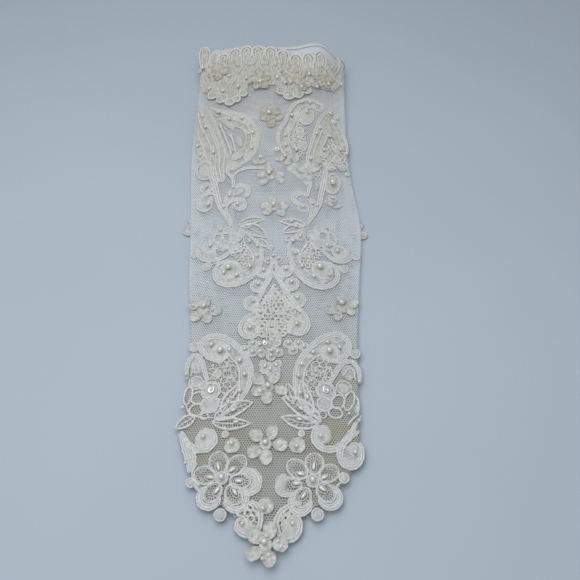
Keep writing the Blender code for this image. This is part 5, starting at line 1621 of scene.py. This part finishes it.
def arm_trim_left(p):
    """The edging left of the middle, with its five scallops."""
    arm_trim(p, -60.0, -24.0)
    for x, y, width in ((-51.4, 142.0, 8.6), (-44.6, 135.4, 8.0), (-38.4, 131.6, 6.6),
                        (-33.4, 134.4, 5.6), (-28.8, 139.6, 5.6)):
        trim_scallop(p, x, y, width)
    for k in range(3):
        p.stitch([(-62.4 + 3.6 * k, 172.0, 0.6), (-60.6 + 3.4 * k, 163.0, 1.0),
                  (-57.0 + 3.0 * k, 155.0, 1.0), (-52.0 + 2.6 * k, 148.0, 0.6)], 2.4, height=1.0)
    trim_petal(p, -60.8, 176.0, 197.4, 8.0, lean=-0.6)
    trim_petal(p, -53.6, 174.0, 189.6, 7.2, lean=1.4)
    p.fill([(-56.0, 172.0), (-52.0, 184.0), (-40.0, 187.0), (-24.0, 188.4), (-24.0, 172.0)], 0.2,
           look=CLOTH)
    for x, high in ((-46.8, 184.0), (-37.4, 186.8), (-28.4, 188.2)):
        trim_petal(p, x, 174.6, high, 8.8, lean=0.8)
    for x, y in ((-62.0, 175.0), (-55.0, 152.0), (-33.0, 148.4), (-44.0, 145.6), (-27.0, 156.0),
                 (-40.0, 160.0)):
        p.pearl(x, y)


def arm_trim_right(p):
    """The edging right of the middle, with its four scallops."""
    arm_trim(p, -22.0, 39.0)
    for x, y, width in ((-0.6, 141.0, 6.6), (5.0, 136.4, 7.6), (11.6, 138.4, 7.4),
                        (18.0, 143.4, 7.0)):
        trim_scallop(p, x, y, width)
    p.fill([(-24.0, 172.0), (-22.0, 188.4), (-8.0, 187.6), (3.0, 184.0), (10.0, 178.6),
            (31.0, 179.0), (34.0, 172.0)], 0.2, look=CLOTH)
    for x, high in ((-18.6, 187.8), (-9.0, 187.0), (0.6, 184.4), (10.2, 179.8), (19.6, 179.4),
                    (29.0, 181.0)):
        trim_petal(p, x, high - 13.0, high, 8.8, lean=-0.5)
    for k in range(3):
        p.stitch([(34.6 + 2.4 * k, 167.0, 0.5), (38.0 + 2.2 * k, 174.0, 1.0),
                  (41.2 + 1.4 * k, 181.6, 1.0), (43.2 + 0.3 * k, 188.6, 0.5)], 1.9, height=1.0)
    for x, y in ((-16.6, 152.0), (14.6, 148.0), (26.0, 150.0), (44.6, 160.0), (2.0, 151.0),
                 (35.0, 156.0), (-4.0, 156.0), (20.0, 161.0)):
        p.pearl(x, y)
    p.petal(15.4, 148.0, 3.4, 2.8, 260, cup=0.4, look=BEIGE, base=p.base + 0.9)
    p.petal(18.6, 151.4, 3.2, 2.6, 10, cup=0.4, look=BEIGE, base=p.base + 0.9)


MOTIFS = (
    point_scroll_left, point_scroll_right, round_petal_centre, round_petal_left,
    round_petal_right, six_petal_flower_left, six_petal_flower_right, side_scroll_left,
    side_scroll_right, hand_paisley_left, hand_paisley_right, hand_scroll_left,
    hand_scroll_right, bead_drop, centre_teardrop, mid_paisley_left, mid_paisley_right,
    mid_scroll_left, mid_scroll_right, arm_scroll_left, arm_scroll_right,
    arm_paisley_left_inner, arm_paisley_left_outer, arm_paisley_right_inner,
    arm_paisley_right_outer, arm_trim_left, arm_trim_right,
)

# Small flowers: height of the base, look, and each petal as (x, y, length, width, turn).
FLOWERS = {
    "point_flower": (2.0, ORGANZA, (
        (-8.0, -175.8, 4.2, 3.6, 140), (-1.0, -173.0, 4.4, 3.4, 80), (4.4, -179.4, 3.8, 3.6, 0),
        (-1.0, -186.4, 4.0, 3.3, 285), (-8.6, -184.2, 4.3, 3.2, 205))),
    "hand_flower": (0.2, ORGANZA, (
        (-9.6, -123.4, 3.8, 3.4, 140), (-1.0, -121.6, 4.2, 3.0, 75), (3.4, -128.6, 3.9, 3.4, 350),
        (-4.0, -135.4, 4.0, 3.3, 275), (-10.4, -132.4, 3.9, 3.3, 225))),
    "knuckle_flower": (0.2, ORGANZA, (
        (-9.4, -91.0, 3.7, 3.1, 150), (-0.6, -89.4, 4.0, 3.2, 60), (3.4, -97.0, 3.9, 2.8, 330),
        (-4.4, -101.6, 3.9, 3.1, 265), (-9.6, -97.8, 3.6, 2.8, 215))),
    "wrist_flower_left": (0.2, ORGANZA, (
        (-51.2, -38.2, 3.2, 2.8, 150), (-44.4, -36.8, 3.9, 3.6, 90), (-37.0, -44.0, 3.8, 3.0, 340),
        (-41.8, -48.0, 3.6, 2.9, 290), (-48.8, -46.0, 3.9, 3.2, 225))),
    "wrist_flower_right": (0.2, ORGANZA, (
        (38.4, -34.4, 3.3, 2.9, 95), (45.6, -36.2, 4.4, 2.8, 35), (44.0, -41.6, 3.4, 2.4, 330),
        (32.6, -42.6, 3.7, 3.0, 200), (36.6, -46.2, 3.6, 2.4, 250))),
    "forearm_flower_low": (0.2, ORGANZA, (
        (-5.0, 42.4, 3.3, 2.8, 100), (2.4, 37.0, 3.6, 3.1, 0), (1.0, 31.4, 3.6, 2.6, 305),
        (-7.8, 32.6, 3.7, 3.0, 235), (-10.0, 37.6, 3.4, 2.9, 180))),
    "forearm_flower_high": (0.2, ORGANZA, (
        (-13.4, 64.0, 3.4, 2.7, 185), (-8.0, 69.6, 3.4, 2.8, 90), (-1.2, 64.2, 3.9, 3.1, 0),
        (0.0, 59.4, 3.2, 2.4, 315), (-11.0, 57.8, 3.4, 2.6, 235))),
    "arm_flower": (0.2, BEIGE, (
        (-12.0, 124.6, 4.8, 3.2, 115), (-4.8, 124.0, 5.0, 3.4, 70), (-12.0, 118.4, 4.2, 3.2, 175),
        (-3.4, 118.6, 4.4, 3.4, 5), (-7.6, 112.6, 3.9, 3.1, 275))),
    "trim_flower_left": (1.6, BEIGE, (
        (-51.6, 173.0, 4.2, 3.2, 130), (-45.4, 172.4, 4.0, 3.1, 60), (-44.0, 166.0, 3.9, 3.1, 330),
        (-48.4, 162.6, 4.0, 3.0, 260), (-53.4, 167.0, 4.0, 3.0, 190))),
    "trim_flower_middle": (1.6, BEIGE, (
        (-17.6, 160.6, 4.0, 3.2, 90), (-20.8, 155.6, 4.0, 3.1, 165), (-12.8, 156.0, 4.0, 3.1, 15),
        (-18.4, 149.4, 4.0, 3.1, 240), (-13.8, 149.6, 4.0, 3.1, 300))),
    "trim_flower_right": (1.6, BEIGE, (
        (9.0, 166.0, 4.2, 3.2, 95), (3.0, 161.0, 4.2, 3.1, 165), (13.8, 160.4, 4.0, 3.1, 20),
        (5.8, 154.6, 4.1, 3.1, 235), (12.0, 153.6, 4.1, 3.1, 305))),
    "trim_flower_outer": (1.6, BEIGE, (
        (30.0, 165.4, 4.2, 3.2, 90), (25.4, 161.0, 4.0, 3.1, 165), (35.0, 162.0, 4.2, 3.1, 15),
        (27.4, 155.0, 4.1, 3.1, 235), (33.0, 156.0, 4.1, 3.1, 300))),
}

# (x, y) of the small sequins on a flower's petals.
GLINTS = {
    "point_flower": ((-7.2, -176.4), (-2.4, -175.6), (3.4, -178.0), (5.2, -180.4),
                     (-1.0, -184.4), (-4.2, -186.4)),
    "hand_flower": ((-8.2, -123.4), (3.4, -128.6)),
    "knuckle_flower": ((-8.0, -98.0),),
    "wrist_flower_left": ((-51.6, -38.4), (-45.0, -37.4), (-39.0, -43.2)),
    "wrist_flower_right": ((38.2, -35.6), (40.2, -34.0)),
}


def sew_flower(name, base, look, petals, seed):
    """A small flower of separate cupped petals caught down at its middle."""
    p = Piece(base, seed)
    centre = np.mean([petal[:2] for petal in petals], axis=0)
    for x, y, long, wide, turn in petals:
        p.petal(x, y, long, wide, turn, cup=0.45, look=look, rim=0.26)
        p.thread([(centre[0], centre[1]), ((x + centre[0]) / 2, (y + centre[1]) / 2)], 0.5, 0.5)
    p.patch(centre[0], centre[1], 3.4, dome=0.3, look=look, base=base + 0.25, pitch=0.8)
    for x, y in GLINTS.get(name, ()):
        p.sequin(x, y, 0.95, p.random.uniform(-0.3, 0.3, 2), height=0.9)
    p.build(name + "_petals", "organza", replaced=(name,))


def sew_pearl(node, radius, height):
    """A pearl where the CAD has it."""
    x, y = node_place(node)
    p = Piece(height, round(abs(x) * 10))
    p.bead(x, y, radius, turn=self_turn(x, y), height=height)
    p.build(node + "_bead", "pearl", replaced=(node,))


# ------------------------------------------------- trims, loop and stage


def sew_band():
    """The narrow ribbed elastic round the arm opening, under the edging."""
    p = Piece()
    # (y, distance out from the tulle) round the elastic's section.
    section = ((186.3, 0.55), (186.3, 1.05), (186.7, 1.2), (188.5, 1.2), (188.9, 1.05),
               (188.9, 0.55))
    rings, uvs = [], []
    for y, outward in section:
        outline = tube_section(y, outward, top=480, fold=16, under=300)[:-1]
        rings.append(np.column_stack([outline[:, 0], np.full(len(outline), y), outline[:, 1]]))
        uvs.append(np.column_stack([outline[:, 2], np.full(len(outline), y)]))
    p.add_rings(np.stack(rings, axis=1), np.stack(uvs, axis=1), ELASTIC, closed=True)
    p.build("arm_elastic", "elastic", replaced=("arm_band",), surface=no_surface)


def sew_ribbon(name, points, width, node):
    """A flat satin ribbon that lies under the tulle."""
    p = Piece(0.1, 7)
    p.cord(points, width, 0.75, base=0.1, look=SATIN)
    for side in (-1, 1):
        edge = np.array(points) + side * (width / 2 - 0.15) * ribbon_sides(points)
        p.cord(edge, 0.3, 0.3, base=0.1, look=SATIN)
    p.build(name, "satin", replaced=(node,), surface=no_surface)


def ribbon_sides(points):
    """The direction across a line at each of its points."""
    way = np.gradient(np.array(points), axis=0)
    way /= np.linalg.norm(way, axis=1, keepdims=True)
    return np.stack([-way[:, 1], way[:, 0]], axis=1)


def sew_side_flower(name, petals):
    """A soft flower under the tulle, at the fold."""
    p = Piece(0.0, 9)
    for x, y, long, wide, turn in petals:
        p.petal(x, y, long, wide, turn, cup=0.3, rim=0.22, crinkle=0.08, base=0.15)
    p.build(name + "_petals", "organza", replaced=(name,), surface=no_surface)


def sew_finger_loop():
    """The satin loop for the middle finger, stitched down at the point."""
    p = Piece(0.05, 11)
    low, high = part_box("finger_loop")
    x = (low[0] + high[0]) / 2 / MM - ZERO[0]
    near, far = low[1] / MM - ZERO[1], high[1] / MM - ZERO[1]
    margin = 0.6
    length, half = far - near - 2 * margin, (high[0] - low[0]) / 2 / MM - 0.7
    path, count = [], 28
    for i in range(count):
        turn = 2 * math.pi * i / count
        along = (1 - math.cos(turn)) / 2
        path.append((x + half * math.sin(turn) * (0.55 + 0.45 * along),
                     near + margin + length * along))
    p.cord(path, 1.2, 0.7, lanes=2, closed=True, base=0.08, look=SATIN)
    p.build("loop_ribbon", "satin", body="finger_loop", replaced=("finger_loop",),
            surface=no_surface)


def make_floor():
    """The plain pale surface the glove lies on."""
    corners = ((-1, -1), (1, -1), (1, 1), (-1, 1))
    mesh = bpy.data.meshes.new("floor")
    mesh.from_pydata([(x * FLOOR_SIDE, y * FLOOR_SIDE, FLOOR_Z) for x, y in corners], [],
                     [(0, 1, 2, 3)])
    floor = bpy.data.objects.new("floor", mesh)
    bpy.context.scene.collection.objects.link(floor)
    made, tree, shader, add = new_look("pale_paper", (0.48, 0.55, 0.62), 0.85)
    # Painted shade: the floor darker towards +Y, the far end, where the light falls off.
    along = add("ShaderNodeSeparateXYZ", {"Vector": object_place(add)}).outputs["Y"]
    shade = range_node(add, along, -0.05, 0.4, 1.0, 0.9)
    place = tint(tree, shader, add, (0.475, 0.545, 0.61), (0.49, 0.56, 0.625), 6.0, shade)
    add_bump(tree, shader, add, noise_node(add, place, 900.0, 2.0), 0.1, 0.0002)
    mesh.materials.append(made)


def add_light(name, place, look_at, size, power, colour):
    """A round soft lamp: places and size in metres, power in watts."""
    data = bpy.data.lights.new(name, "AREA")
    data.shape, data.size, data.energy, data.color = "DISK", size, power, colour
    lamp = bpy.data.objects.new(name, data)
    lamp.location = place
    lamp.rotation_euler = (Vector(look_at) - Vector(place)).to_track_quat("-Z", "Y").to_euler()
    bpy.context.scene.collection.objects.link(lamp)


def light_scene():
    """A pale sky, a window beyond the arm's end and a broad soft lamp overhead."""
    world = bpy.data.worlds.new("soft_sky")
    world.use_nodes = True
    sky = world.node_tree.nodes["Background"]
    sky.inputs["Color"].default_value = (0.90, 0.95, 1.0, 1.0)
    sky.inputs["Strength"].default_value = 0.33
    bpy.context.scene.world = world
    add_light("window", (-0.12, 0.5, 0.7), (0.0, -0.02, 0.0), 0.5, 0.66, (0.97, 0.99, 1.0))
    add_light("soft_box", (-0.1, -0.1, 0.62), (-0.02, -0.06, 0.0), 0.7, 2.62, (0.97, 0.985, 1.0))
    bpy.context.scene.view_settings.view_transform = "Standard"


def place_camera():
    """The camera that sees the glove as the photo does."""
    data = bpy.data.cameras.new("photo_camera")
    data.lens, data.sensor_width, data.clip_start = CAMERA_LENS, CAMERA_SENSOR, 0.01
    camera = bpy.data.objects.new("photo_camera", data)
    camera.location = CAMERA_PLACE
    camera.rotation_euler = (math.radians(CAMERA_TILT), 0.0, math.radians(CAMERA_ROLL))
    bpy.context.scene.collection.objects.link(camera)
    bpy.context.scene.camera = camera


sew_tulle()
for number, motif in enumerate(MOTIFS):
    lace = Motif(TRIM_BASE if "trim" in motif.__name__ else LACE_BASE, seed=20 + 5 * number)
    motif(lace)
    lace.sew(motif.__name__)
for number, (flower, (base, look, petals)) in enumerate(FLOWERS.items()):
    sew_flower(flower, base, look, petals, FLOWER_SEED + number)
    if not flower.startswith("trim"):
        sew_pearl(flower + "_pearl", FLOWER_PEARL, base + 0.9)
for node in ("hand_pearl_left", "hand_pearl_right", "mid_pearl_left", "mid_pearl_right"):
    sew_pearl(node, LACE_PEARL, 0.8)
sew_band()
sew_ribbon("palm_ribbon", [(-45.5, -128.0), (-23.5, -128.0), (-1.5, -128.0), (20.5, -128.0),
                           (42.5, -128.0)], 3.0, "palm_hem")
sew_ribbon("seam_ribbon", [(-1.5, -123.5), (-1.5, -60.0), (-1.5, 0.0), (-3.4, 40.0),
                           (-5.5, 80.0), (-7.2, 130.0), (-8.5, 182.0)], 0.9, "underarm_seam")
sew_side_flower("side_flower_left", (
    (-52.3, 31.2, 4.7, 3.8, 75), (-57.6, 30.2, 4.7, 3.8, 130), (-59.4, 24.2, 4.7, 3.8, 200),
    (-54.0, 20.2, 4.7, 3.8, 270), (-49.0, 23.0, 4.7, 3.8, 330)))
sew_side_flower("side_flower_right", (
    (51.6, 28.8, 4.8, 3.8, 50), (45.4, 30.0, 4.8, 3.8, 110), (41.4, 24.0, 4.8, 3.8, 180),
    (45.4, 18.2, 4.8, 3.8, 250), (53.4, 22.0, 4.8, 3.8, 340)))
sew_finger_loop()
make_floor()
light_scene()
place_camera()
